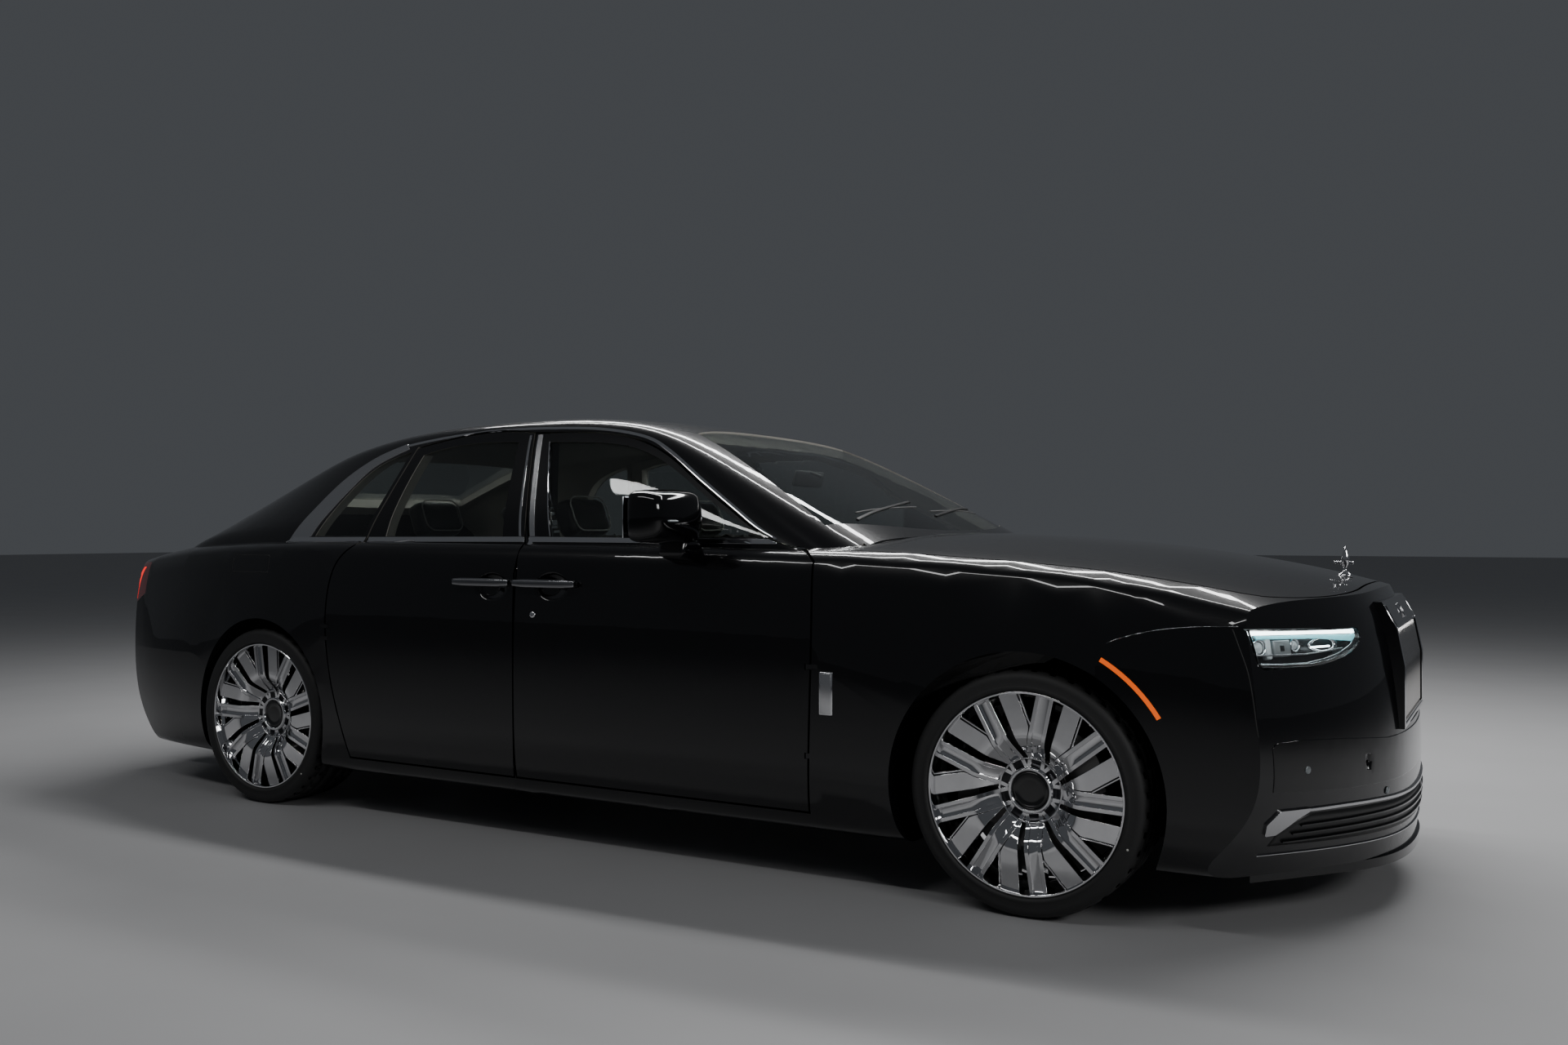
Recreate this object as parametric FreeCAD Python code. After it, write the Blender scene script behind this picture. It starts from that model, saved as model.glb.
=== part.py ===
import FreeCAD, Part
import math
import os

V = FreeCAD.Vector

# Overall size, in millimetres; X runs forward, Y to the left and Z up
LENGTH = 5580.0
HEIGHT = 1571.0
BODY_WIDTH = 1992.0
WHEELBASE = 3295.0
FRONT_AXLE_X = 1820.0
SILL_Z = 170.0
BELT_Z = 1080.0

# Wheels and tyres
TYRE_RADIUS = 362.0
TYRE_WIDTH = 275.0
TYRE_CROWN = 6.0
RIM_RADIUS = 300.0
RIM_LIP = 9.0
RIM_WALL = 12.0
WHEEL_Y = 828.0
HUB_RADIUS = 96.0
CAP_RADIUS = 40.0
SPOKE_DEPTH = 34.0
SPOKE_FACE_INSET = 16.0
RIB_WIDTH = 54.0
VALLEY_WIDTH = 30.0
VALLEY_DEPTH = 13.0
BLADE_INSET = 3.0
HUB_INSET = 70.0
DISC_RADIUS = 200.0
DISC_THICKNESS = 34.0
DISC_OFFSET = 20.0
CALIPER_LENGTH = 190.0
CALIPER_HEIGHT = 70.0
CALIPER_WIDTH = 96.0
FRONT_ARCH_RADIUS = 416.0
REAR_ARCH_RADIUS = 404.0
FRONT_ARCH_WALL_Y = 462.0
REAR_ARCH_WALL_Y = 640.0
KINGPIN_Y = 757.0

# Thickness and clearance
DOOR_INNER_Y = 872.0
ROOF_THICKNESS = 50.0
LID_THICKNESS = 42.0
BUMPER_WALL = 60.0
GLASS_THICKNESS = 5.0
GLASS_INSET = 5.0
SEAL_GAP = 0.3
RUNNING_GAP = 0.3
SHUT_GAP = 7.0
HINGE_INSET = 8.0
HINGE_SETBACK = 11.0
FLOOR_TOP = 290.0
UNDER_WALL = 120.0
CLEARANCE = 8.0

# Body form
FLANK_TUCK = 120.0
GLASS_FOOT_Z = 560.0
GLASS_BULGE = 12.0
RAIL_ROUND = 60.0

# Cabin, engine bay and boot
CABIN_FRONT_X = 1200.0
CABIN_REAR_X = -1060.0
ALCOVE_REAR_X = -1300.0
ALCOVE_HALF_WIDTH = 600.0
ALCOVE_TOP_Z = 960.0
BAY_FRONT_X = 2330.0
BAY_REAR_X = 1330.0
BAY_HALF_WIDTH = 430.0
BOOT_FRONT_X = -1360.0
BOOT_REAR_X = -2480.0
BOOT_MOUTH_X = -1960.0
BOOT_HALF_WIDTH = 600.0
BOOT_FLOOR_Z = 420.0

HALF_LENGTH = LENGTH / 2
HALF_WIDTH = BODY_WIDTH / 2
REAR_AXLE_X = FRONT_AXLE_X - WHEELBASE
AXLE_Z = TYRE_RADIUS
SIDES = (("left", 1), ("right", -1))
FAR = 2 * LENGTH

# Stations of the lower body: place along, half width, shoulder height and centre height, as shares
BODY_SHARES = (
    (1.0753, 0.8735, 0.4965, 0.5411),
    (0.9821, 0.9187, 0.5411, 0.5996),
    (0.8961, 0.9528, 0.5761, 0.6384),
    (0.7993, 0.9759, 0.6174, 0.6684),
    (0.6918, 0.99, 0.6442, 0.6938),
    (0.5663, 0.996, 0.662, 0.7097),
    (0.4409, 0.998, 0.6728, 0.7161),
    (0.3154, 0.999, 0.6798, 0.7161),
    (0.1362, 1, 0.6849, 0.7161),
    (-0.043, 1, 0.6875, 0.7161),
    (-0.2222, 1, 0.6887, 0.7161),
    (-0.3656, 0.999, 0.6887, 0.7161),
    (-0.491, 0.992, 0.6862, 0.7161),
    (-0.6165, 0.9699, 0.6792, 0.718),
    (-0.7419, 0.9297, 0.6658, 0.7116),
    (-0.8495, 0.8695, 0.6467, 0.6906),
    (-0.9391, 0.7851, 0.6238, 0.6671),
    (-1.0287, 0.6677, 0.5983, 0.6365),
    (-1.1183, 0.5221, 0.5729, 0.6047),
)
# Flank from the skirt up to the shoulder: share of the tuck, share of the height
FLANK_SHARES = (
    (1.0, 0.0), (0.2, 0.0), (0.04, 0.105), (0.0, 0.285), (-0.01, 0.53),
    (0.05, 0.785), (0.15, 0.91), (0.3, 0.98), (0.67, 1.007),
)
# Deck from the shoulder to the centre: share of the half width, share of the rise
DECK_SHARES = ((0.8, 0.38), (0.55, 0.72), (0.27, 0.98), (0.0, 1.0))

# Stations of the glass house: place along, foot half width, rail half width, rail and centre height
HOUSE_SHARES = (
    (0.5663, 0.9096, 0.8835, 0.5283, 0.592),
    (0.4767, 0.9116, 0.8835, 0.6034, 0.6906),
    (0.405, 0.9157, 0.8835, 0.676, 0.7562),
    (0.3333, 0.9217, 0.8534, 0.7498, 0.8173),
    (0.2616, 0.9257, 0.8153, 0.825, 0.8771),
    (0.1935, 0.9287, 0.7781, 0.8924, 0.9319),
    (0.1362, 0.9297, 0.753, 0.9408, 0.9675),
    (0.0824, 0.9297, 0.741, 0.9637, 0.9866),
    (0.0108, 0.9297, 0.7349, 0.9771, 0.9981),
    (-0.0789, 0.9297, 0.7329, 0.9803, 1.0006),
    (-0.1864, 0.9287, 0.7309, 0.9777, 0.9981),
    (-0.2939, 0.9257, 0.7229, 0.965, 0.9879),
    (-0.3835, 0.9187, 0.7028, 0.9459, 0.9694),
    (-0.4731, 0.9066, 0.6747, 0.9153, 0.9408),
    (-0.5627, 0.8886, 0.6506, 0.8593, 0.8861),
    (-0.6523, 0.8635, 0.6345, 0.8008, 0.8224),
    (-0.7419, 0.8313, 0.6225, 0.7384, 0.7562),
    (-0.8136, 0.7831, 0.6074, 0.6811, 0.7002),
    (-0.8674, 0.743, 0.5873, 0.6365, 0.6556),
)

# Nose and tail in plan: share of the half width, share of the half length
NOSE_MID_SHARES = ((0.0, 1.0007), (0.2, 0.9993), (0.4, 0.9921), (0.6, 0.9663), (0.8, 0.929),
                   (1.0, 0.881), (1.2, 0.8244))
NOSE_LOW_SHARES = ((0.0, 0.9993), (0.2, 0.995), (0.4, 0.9756), (0.6, 0.9283), (0.8, 0.871),
                   (1.0, 0.8065), (1.2, 0.7384))
# Nose in side view: share of the height, share of the step back
NOSE_STEP = 100.0
NOSE_PROFILE_SHARES = ((0.0318, 0.1), (0.1082, 0.05), (0.1655, 0.0), (0.2546, 0.0), (0.3819, 0.12),
                       (0.4965, 0.36), (0.5602, 0.62), (0.6111, 1.0), (0.7957, 2.6))
NOSE_LOW_ROWS = 2
TAIL_SHARES = ((0.0, -1.0022), (0.2, -1.0007), (0.4, -0.991), (0.6, -0.9659), (0.75, -0.9319),
               (0.9, -0.8817), (1.1, -0.7957))
TAIL_STEP = 100.0
TAIL_PROFILE_SHARES = ((0.0318, 3.3), (0.0955, 2.3), (0.1591, 1.3), (0.2546, 0.25), (0.3819, 0.0),
                       (0.5092, 0.12), (0.6047, 0.45), (0.6684, 0.8), (0.7957, 1.7))


def spline_knots(count, degree=3):
    inner = count - degree - 1
    return [float(i) for i in range(inner + 2)], [degree + 1] + [1] * inner + [degree + 1]


def spline_surface(rows, degree=3):
    surface = Part.BSplineSurface()
    u_knots, u_mults = spline_knots(len(rows), degree)
    v_knots, v_mults = spline_knots(len(rows[0]), degree)
    surface.buildFromPolesMultsKnots(rows, u_mults, v_mults, u_knots, v_knots, False, False, degree, degree)
    return surface.toShape()


def spline_edge(poles, degree=3):
    curve = Part.BSplineCurve()
    knots, mults = spline_knots(len(poles), degree)
    curve.buildFromPolesMultsKnots(poles, mults, knots, False, degree)
    return curve.toShape()


def tunnel(rows):
    """Closes a skin of open rows with a flat base and two flat ends."""
    skin = spline_surface(rows)
    near = spline_edge(rows[0])
    far = spline_edge(rows[-1])
    first = spline_edge([row[0] for row in rows])
    last = spline_edge([row[-1] for row in rows])
    near_base = Part.makeLine(rows[0][0], rows[0][-1])
    far_base = Part.makeLine(rows[-1][0], rows[-1][-1])
    base = Part.Face(Part.Wire(Part.__sortEdges__([first, far_base, last, near_base])))
    near_end = Part.Face(Part.Wire(Part.__sortEdges__([near, near_base])))
    far_end = Part.Face(Part.Wire(Part.__sortEdges__([far, far_base])))
    shell = Part.makeShell([skin, base, near_end, far_end])
    shell.sewShape()
    solid = Part.makeSolid(shell)
    if solid.Volume < 0:
        solid.reverse()
    return solid


def both_halves(x, half):
    """Mirrors a half section that ends on the centre line."""
    row = [V(x, y, z) for y, z in half]
    return row + [V(x, -y, z) for y, z in half[-2::-1]]


def lower_body(inset=0.0):
    rows = []
    for along, wide, shoulder, centre in BODY_SHARES:
        width = wide * HALF_WIDTH - inset
        top = shoulder * HEIGHT - inset
        crown = centre * HEIGHT - inset
        base = SILL_Z + inset
        half = [(width - tuck * FLANK_TUCK, base + rise * (top - base)) for tuck, rise in FLANK_SHARES]
        half += [(width * out, top + rise * (crown - top)) for out, rise in DECK_SHARES]
        rows.append(both_halves(along * HALF_LENGTH, half))
    return tunnel(rows)


def glass_house(inset=0.0):
    rows = []
    for along, foot, rail, rail_height, centre in HOUSE_SHARES:
        foot_y = foot * HALF_WIDTH - inset
        rail_y = rail * HALF_WIDTH - inset
        rail_z = rail_height * HEIGHT - inset / 3
        crown = centre * HEIGHT - inset
        belt = min(BELT_Z, rail_z - RAIL_ROUND)
        rise = rail_z - belt
        lean = rail_y - foot_y
        half = [(foot_y + GLASS_BULGE, GLASS_FOOT_Z), (foot_y + GLASS_BULGE / 2, (GLASS_FOOT_Z + belt) / 2)]
        half += [(foot_y + lean * s + GLASS_BULGE * b, belt + rise * s) for s, b in ((0.03, 0.0), (0.33,
            0.8), (0.66, 0.8), (0.9, 0.3))]
        half += [(rail_y - GLASS_BULGE / 2, rail_z), (rail_y - RAIL_ROUND, rail_z + (crown - rail_z) * 0.55)]
        half += [(rail_y * s, rail_z + (crown - rail_z) * b) for s, b in ((0.72, 0.84), (0.5, 0.96),
            (0.25, 1.0), (0.0, 1.0))]
        rows.append(both_halves(along * HALF_LENGTH, half))
    return tunnel(rows)


def nose_block(inset=0.0):
    low = [(y, x) for y, x in NOSE_LOW_SHARES]
    mid = [(y, x) for y, x in NOSE_MID_SHARES]
    plans = [(-y, x, l) for (y, x), (_, l) in list(zip(mid, low))[:0:-1]] + [(y, x, l) for (y, x),
        (_, l) in zip(mid, low)]
    rows = []
    for y, x, low_x in plans:
        row = []
        for index, (height, step) in enumerate(NOSE_PROFILE_SHARES):
            plan = low_x if index < NOSE_LOW_ROWS else (x + low_x) / 2 if index == NOSE_LOW_ROWS else x
            row.append(V(plan * HALF_LENGTH - step * NOSE_STEP - inset, y * HALF_WIDTH, height * HEIGHT))
        rows.append(row)
    return spline_surface(rows).extrude(V(-FAR, 0, 0))


def tail_block(inset=0.0):
    plan = [(-y, x) for y, x in TAIL_SHARES[:0:-1]] + list(TAIL_SHARES)
    rows = [[V(x * HALF_LENGTH + step * TAIL_STEP + inset, y * HALF_WIDTH, height * HEIGHT)
             for height, step in TAIL_PROFILE_SHARES] for y, x in plan]
    return spline_surface(rows).extrude(V(FAR, 0, 0))


def box(x0, x1, y0, y1, z0, z1):
    return Part.makeBox(x1 - x0, y1 - y0, z1 - z0, V(x0, y0, z0))


def rod(start, end, radius):
    return Part.makeCylinder(radius, (end - start).Length, start, end - start)


def fused(first, *others):
    result = first
    for other in others:
        result = result.fuse(other)
    return result.removeSplitter()


def cut(shape, *tools):
    for tool in tools:
        shape = shape.cut(tool)
    return shape


def largest(shape):
    return max(shape.Solids, key=lambda solid: solid.Volume)


def mirrored(shape):
    return shape.mirror(V(0, 0, 0), V(0, 1, 0))


def on_side(shape, side):
    """Shapes are drawn for the left, where Y is positive."""
    return shape if side > 0 else mirrored(shape)


def save(shape, name):
    shape = shape.copy()
    solids = shape.Solids
    if len(solids) == 1:
        shape = solids[0]
    print(name, shape.isValid(), len(solids), round(shape.Volume / 1e6, 2))
    shape.exportStep(os.path.join("parts", name + ".step"))
    return shape


# Regions: an outline is a ring of chains in (along, up), each with its own draft share
def ring_points(chains):
    points = []
    edges = []
    for index, chain in enumerate(chains):
        for point in chain[:-1]:
            points.append(point)
            edges.append(index)
    return points, edges


def moved_ring(points, moves):
    """Moves each edge of an anticlockwise ring outward by its own distance."""
    count = len(points)
    normals = []
    for i in range(count):
        (a, b), (c, d) = points[i], points[(i + 1) % count]
        size = math.hypot(c - a, d - b)
        normals.append(((d - b) / size, (a - c) / size))
    result = []
    for i in range(count):
        (a, b) = points[i]
        (n1, m1), (n2, m2) = normals[i - 1], normals[i]
        d1, d2 = moves[i - 1], moves[i]
        cross = n1 * m2 - m1 * n2
        if abs(cross) < 0.5:
            spread = (n1 + n2) ** 2 + (m1 + m2) ** 2
            result.append((a + (n1 + n2) * (d1 + d2) / spread, b + (m1 + m2) * (d1 + d2) / spread))
        else:
            result.append((a + (d1 * m2 - d2 * m1) / cross, b + (n1 * d2 - n2 * d1) / cross))
    return result


def ring_wire(points, edges, place):
    count = len(points)
    shapes = []
    i = 0
    while i < count:
        j = i
        while j < count and edges[j] == edges[i]:
            j += 1
        run = [place(*points[k % count]) for k in range(i, j + 1)]
        if len(run) == 2:
            shapes.append(Part.makeLine(run[0], run[1]))
        else:
            curve = Part.BSplineCurve()
            curve.interpolate(run)
            shapes.append(curve.toShape())
        i = j
    return Part.Wire(shapes)


def prism(chains, grow, place_near, place_far):
    points, edges = ring_points(chains)
    ring = moved_ring(points, [grow] * len(points))
    near = ring_wire(ring, edges, place_near)
    far = ring_wire(ring, edges, place_far)
    return Part.makeLoft([near, far], True, True)


def side_prism(chains, grow=0.0, near=0.0, far=FAR):
    return prism(chains, grow, lambda a, b: V(a, near, b), lambda a, b: V(a, far, b))


def plan_prism(chains, grow=0.0, near=0.0, far=FAR):
    return prism(chains, grow, lambda a, b: V(a, b, near), lambda a, b: V(a, b, far))


def front_prism(chains, grow=0.0, near=0.0, far=FAR):
    return prism(chains, grow, lambda a, b: V(near, a, b), lambda a, b: V(far, a, b))


def leaning_side(chains, lean, grow):
    """A side region whose edge along the middle pillar leans away from the other door towards the cabin."""
    points, edges = ring_points(chains)
    ring = moved_ring(points, [grow] * len(points))
    wires = []
    for plane in (PILLAR_OUTER_SHARE * HALF_WIDTH, PILLAR_INNER_SHARE * HALF_WIDTH):
        placed = list(ring)
        for (along, up), skin in zip(PILLAR_SHARES, PILLAR_SKIN_SHARES):
            i = points.index((along * HALF_LENGTH, up * HEIGHT))
            placed[i] = (ring[i][0] + lean * (plane - skin * HALF_WIDTH), ring[i][1])
        wires.append(ring_wire(placed, edges, lambda a, b: V(a, plane, b)))
    return Part.makeLoft(wires, True, True)


def drafted_plan(chains, drafts, levels, grow, low, high):
    """A plan region that narrows downward on the chains that have a draft."""
    points, edges = ring_points(chains)
    wires = []
    for plane in (low, high):
        moves = [grow + drafts[edges[i]] * (plane - levels[edges[i]]) for i in range(len(points))]
        ring = moved_ring(points, moves)
        wires.append(ring_wire(ring, edges, lambda a, b: V(a, b, plane)))
    return Part.makeLoft(wires, True, True)


def top_of(shape, x, y):
    """Height of the highest point of a shape above a place in plan."""
    return shape.common(Part.makeLine(V(x, y, 0), V(x, y, 2 * HEIGHT))).BoundBox.ZMax


def shares_to_side(shares):
    return [(a * HALF_LENGTH, b * HEIGHT) for a, b in shares]


def shares_to_plan(shares):
    return [(a * HALF_LENGTH, b * HALF_WIDTH) for a, b in shares]


# The middle pillar from its foot up, with the half width of the skin at each point
PILLAR_SHARES = ((-0.028, 0.1528), (-0.0305, 0.62), (-0.0315, 0.6906), (-0.0667, 0.9548))
PILLAR_SKIN_SHARES = (1.0, 0.998, 0.94, 0.757)
PILLAR_OUTER_SHARE = 1.02
PILLAR_INNER_SHARE = 0.55
PILLAR_FOOT, PILLAR_WAIST, PILLAR_BELT, PILLAR_TOP = PILLAR_SHARES

# Door outlines on the side, anticlockwise as seen with X to the right
FRONT_DOOR_SHARES = (
    (PILLAR_FOOT, (0.404, 0.1528)),
    ((0.404, 0.1528), (0.4065, 0.3915), (0.4072, 0.5474), (0.4045, 0.6556)),
    ((0.4045, 0.6556), (0.39, 0.6735), (0.3656, 0.6849)),
    ((0.3656, 0.6849), (0.3186, 0.7161), (0.2781, 0.7588), (0.2219, 0.8199), (0.1613, 0.8899),
     (0.1172, 0.9243),
     (0.0466, 0.9484), PILLAR_TOP),
    (PILLAR_TOP, PILLAR_BELT),
    (PILLAR_BELT, PILLAR_WAIST),
    (PILLAR_WAIST, PILLAR_FOOT),
)
FRONT_LEAN_SHARE = -0.32
REAR_DOOR_SHARES = (
    ((-0.3315, 0.1528), PILLAR_FOOT),
    (PILLAR_FOOT, PILLAR_WAIST),
    (PILLAR_WAIST, PILLAR_BELT),
    (PILLAR_BELT, PILLAR_TOP),
    (PILLAR_TOP, (-0.1269, 0.9624), (-0.2168, 0.9516), (-0.2867, 0.9306)),
    ((-0.2867, 0.9306), (-0.3118, 0.7957), (-0.3315, 0.697)),
    ((-0.3315, 0.697), (-0.3459, 0.6735), (-0.362, 0.6429), (-0.3762, 0.5729), (-0.3797, 0.4908),
     (-0.3755, 0.4137),
     (-0.3656, 0.331), (-0.3495, 0.2419), (-0.3315, 0.1528)),
)
REAR_LEAN_SHARE = 0.42
FRONT_HINGE_X = max(a for a, b in FRONT_DOOR_SHARES[1]) * HALF_LENGTH - SHUT_GAP / 2 - HINGE_SETBACK
REAR_HINGE_X = min(a for a, b in REAR_DOOR_SHARES[6]) * HALF_LENGTH + SHUT_GAP / 2 + HINGE_SETBACK
HINGE_Y = HALF_WIDTH - HINGE_INSET
FRONT_WINDOW_SHARES = (
    ((0.0079, 0.704), (0.3351, 0.704)),
    ((0.3351, 0.704), (0.2796, 0.746), (0.2222, 0.8059), (0.1613, 0.8708), (0.1111, 0.9064),
     (0.0466, 0.9243), (-0.0358, 0.9306)),
    ((-0.0358, 0.9306), (0.0079, 0.704)),
)
REAR_WINDOW_SHARES = (
    ((-0.2939, 0.704), (-0.0753, 0.704)),
    ((-0.0753, 0.704), (-0.0918, 0.9332)),
    ((-0.0918, 0.9332), (-0.1505, 0.9357), (-0.2168, 0.9281), (-0.2681, 0.9102)),
    ((-0.2681, 0.9102), (-0.2839, 0.8148), (-0.2939, 0.704)),
)
QUARTER_SHARES = (
    ((-0.4462, 0.704), (-0.3405, 0.704)),
    ((-0.3405, 0.704), (-0.319, 0.8033), (-0.2968, 0.9204)),
    ((-0.2968, 0.9204), (-0.3297, 0.9064), (-0.3674, 0.8771), (-0.405, 0.8148), (-0.4337, 0.7416),
     (-0.4462, 0.704)),
)
# Openings in plan: share of the half length, share of the half width
SCREEN_SHARES = (
    ((0.1577, -0.585), (0.3889, -0.8)),
    ((0.3889, -0.8), (0.4283, -0.5), (0.4452, 0.0), (0.4283, 0.5), (0.3889, 0.8)),
    ((0.3889, 0.8), (0.1577, 0.585)),
    ((0.1577, 0.585), (0.1398, 0.3), (0.1344, 0.0), (0.1398, -0.3), (0.1577, -0.585)),
)
BACKLIGHT_SHARES = (
    ((-0.638, -0.53), (-0.4624, -0.5)),
    ((-0.4624, -0.5), (-0.4462, 0.0), (-0.4624, 0.5)),
    ((-0.4624, 0.5), (-0.638, 0.53)),
    ((-0.638, 0.53), (-0.6523, 0.0), (-0.638, -0.53)),
)
HOOD_SHARES = (
    ((0.4308, -0.885), (0.5968, -0.88), (0.6918, -0.865), (0.79, -0.835), (0.853, -0.8), (0.8781, -0.77)),
    ((0.8781, -0.77), (0.9104, -0.66), (0.9337, -0.5), (0.9444, -0.32)),
    ((0.9444, -0.32), (0.9444, 0.32)),
    ((0.9444, 0.32), (0.9337, 0.5), (0.9104, 0.66), (0.8781, 0.77)),
    ((0.8781, 0.77), (0.853, 0.8), (0.79, 0.835), (0.6918, 0.865), (0.5968, 0.88), (0.4308, 0.885)),
    ((0.4308, 0.885), (0.4552, 0.5), (0.4631, 0.0), (0.4552, -0.5), (0.4308, -0.885)),
)
BOOT_LID_SHARES = (
    ((-0.8315, -0.68), (-0.6882, -0.68)),
    ((-0.6882, -0.68), (-0.6882, 0.68)),
    ((-0.6882, 0.68), (-0.8315, 0.68)),
    ((-0.8315, 0.68), (-0.8961, 0.64)),
    ((-0.8961, 0.64), (-1.0824, 0.64)),
    ((-1.0824, 0.64), (-1.0824, -0.64)),
    ((-1.0824, -0.64), (-0.8961, -0.64)),
    ((-0.8961, -0.64), (-0.8315, -0.68)),
)
BOOT_LID_FOOT_Z = 620.0
HOOD_DRAFTS = (0.0, 0.3, 0.3, 0.3, 0.0, 0.3)
HOOD_LEVELS = (BELT_Z, 0.56 * HEIGHT, 0.58 * HEIGHT, 0.56 * HEIGHT, BELT_Z, 0.7 * HEIGHT)
FRONT_BUMPER_SHARES = (
    ((0.7957, 0.0637), (1.0681, 0.0637)),
    ((1.0681, 0.0637), (1.0681, 0.5525)),
    ((1.0681, 0.5525), (0.8674, 0.5525)),
    ((0.8674, 0.5525), (0.8351, 0.5512), (0.7957, 0.5442), (0.7599, 0.5296), (0.7312, 0.5067)),
    ((0.7312, 0.5067), (0.7312, 0.2546)),
    ((0.7312, 0.2546), (0.7957, 0.0637)),
)
REAR_BUMPER_SHARES = (
    ((-1.0824, 0.0637), (-0.6165, 0.0637)),
    ((-0.6165, 0.0637), (-0.6523, 0.331)),
    ((-0.6523, 0.331), (-0.6738, 0.366), (-0.724, 0.3819)),
    ((-0.724, 0.3819), (-1.0824, 0.3819)),
    ((-1.0824, 0.3819), (-1.0824, 0.0637)),
)
HEADLAMP_SHARES = (
    ((-0.9287, 0.4876), (-0.9187, 0.4819), (-0.8484, 0.4793), (-0.7580, 0.4787), (-0.6827, 0.4838), (-0.6165, 0.4920), (-0.5572, 0.5041), (-0.5241, 0.5169)),
    ((-0.5241, 0.5169), (-0.5141, 0.5283), (-0.5201, 0.5411)),
    ((-0.5201, 0.5411), (-0.9347, 0.5493)),
    ((-0.9347, 0.5493), (-0.9337, 0.5188), (-0.9287, 0.4876)),
)
TAIL_LAMP_SHARES = (
    ((-0.8, 0.5029), (-0.7, 0.5029)),
    ((-0.7, 0.5029), (-0.7, 0.627)),
    ((-0.7, 0.627), (-0.95, 0.627)),
    ((-0.95, 0.627), (-0.8, 0.5029)),
)

os.makedirs("parts", exist_ok=True)

# Outer form and the layers inside it
nose = nose_block()
tail = tail_block()
belly = lower_body()
house = glass_house()
outer = belly.common(nose).common(tail).fuse(house)
outer = largest(outer)
house_roof = glass_house(ROOF_THICKNESS)
glass_outer = glass_house(GLASS_INSET)
glass_inner = glass_house(GLASS_INSET + GLASS_THICKNESS)
glass_layer = glass_outer.cut(glass_inner)

# Cabin hollow
lower_cabin = box(CABIN_REAR_X, CABIN_FRONT_X, -DOOR_INNER_Y, DOOR_INNER_Y, FLOOR_TOP,
                  BELT_Z - RAIL_ROUND / 2)
upper_cabin = house_roof.common(box(-HALF_LENGTH, HALF_LENGTH, -HALF_WIDTH, HALF_WIDTH,
                                    BELT_Z - RAIL_ROUND, HEIGHT))
alcove = box(ALCOVE_REAR_X, CABIN_REAR_X, -ALCOVE_HALF_WIDTH, ALCOVE_HALF_WIDTH, FLOOR_TOP, ALCOVE_TOP_Z)
cabin = lower_cabin.fuse(alcove).fuse(upper_cabin.cut(box(-HALF_LENGTH, CABIN_REAR_X, -HALF_WIDTH,
                                                          HALF_WIDTH, 0, ALCOVE_TOP_Z + UNDER_WALL)))
cabin = cabin.fuse(box(ALCOVE_REAR_X, CABIN_REAR_X, -ALCOVE_HALF_WIDTH, ALCOVE_HALF_WIDTH, ALCOVE_TOP_Z,
                       ALCOVE_TOP_Z + UNDER_WALL))

front_door_chains = [shares_to_side(chain) for chain in FRONT_DOOR_SHARES]
rear_door_chains = [shares_to_side(chain) for chain in REAR_DOOR_SHARES]
screen_chains = [shares_to_plan(chain) for chain in SCREEN_SHARES]
backlight_chains = [shares_to_plan(chain) for chain in BACKLIGHT_SHARES]
hood_chains = [shares_to_plan(chain) for chain in HOOD_SHARES]
boot_chains = [shares_to_plan(chain) for chain in BOOT_LID_SHARES]
front_bumper_chains = [shares_to_side(chain) for chain in FRONT_BUMPER_SHARES]
rear_bumper_chains = [shares_to_side(chain) for chain in REAR_BUMPER_SHARES]


def wheel_house(axle_x, radius, wall_y, side):
    start = V(axle_x, side * wall_y, AXLE_Z)
    return rod(start, V(axle_x, side * HALF_WIDTH * 1.2, AXLE_Z), radius)


houses = [wheel_house(FRONT_AXLE_X, FRONT_ARCH_RADIUS, FRONT_ARCH_WALL_Y, side) for _, side in SIDES]
houses += [wheel_house(REAR_AXLE_X, REAR_ARCH_RADIUS, REAR_ARCH_WALL_Y, side) for _, side in SIDES]

# Edge hinges: an arm and pin on the body, a square pocket and a bore in the door or lid
HINGE_ARM = 16.0
HINGE_PIN_RADIUS = 3.0
HINGE_PIN_REACH = 15.0
HINGE_EYE = 5.0
HINGE_SLACK = 1.5
HINGE_REACH = 40.0
FRONT_HINGE_HEIGHTS = (420.0, 700.0)
REAR_HINGE_HEIGHTS = (702.0, 750.0)
SWING_GAP = 5.0
SWING_LOW_Z = 622.0
SWING_HIGH_Z = 690.0


def edge_hinge(ahead):
    """One upright hinge at the origin, opening towards Y: the body's arm and the door's cuts."""
    ends = sorted((0.0, ahead * HINGE_REACH))
    arm = box(ends[0], ends[1], -HINGE_EYE, HINGE_EYE, -HINGE_ARM / 2, HINGE_ARM / 2)
    arm = arm.fuse(Part.makeCylinder(HINGE_EYE, HINGE_ARM, V(0, 0, -HINGE_ARM / 2)))
    arm = arm.fuse(Part.makeCylinder(HINGE_PIN_RADIUS, 2 * HINGE_PIN_REACH, V(0, 0, -HINGE_PIN_REACH)))
    behind = HINGE_EYE + HINGE_SLACK
    half_room = HINGE_ARM / 2 + HINGE_SLACK
    ends = sorted((-ahead * behind, ahead * HINGE_REACH))
    pocket = box(ends[0], ends[1], -behind, HINGE_REACH, -half_room, half_room)
    bore_reach = HINGE_PIN_REACH + HINGE_SLACK
    bore = Part.makeCylinder(HINGE_PIN_RADIUS + RUNNING_GAP, 2 * bore_reach, V(0, 0, -bore_reach))
    return arm, pocket, bore


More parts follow.
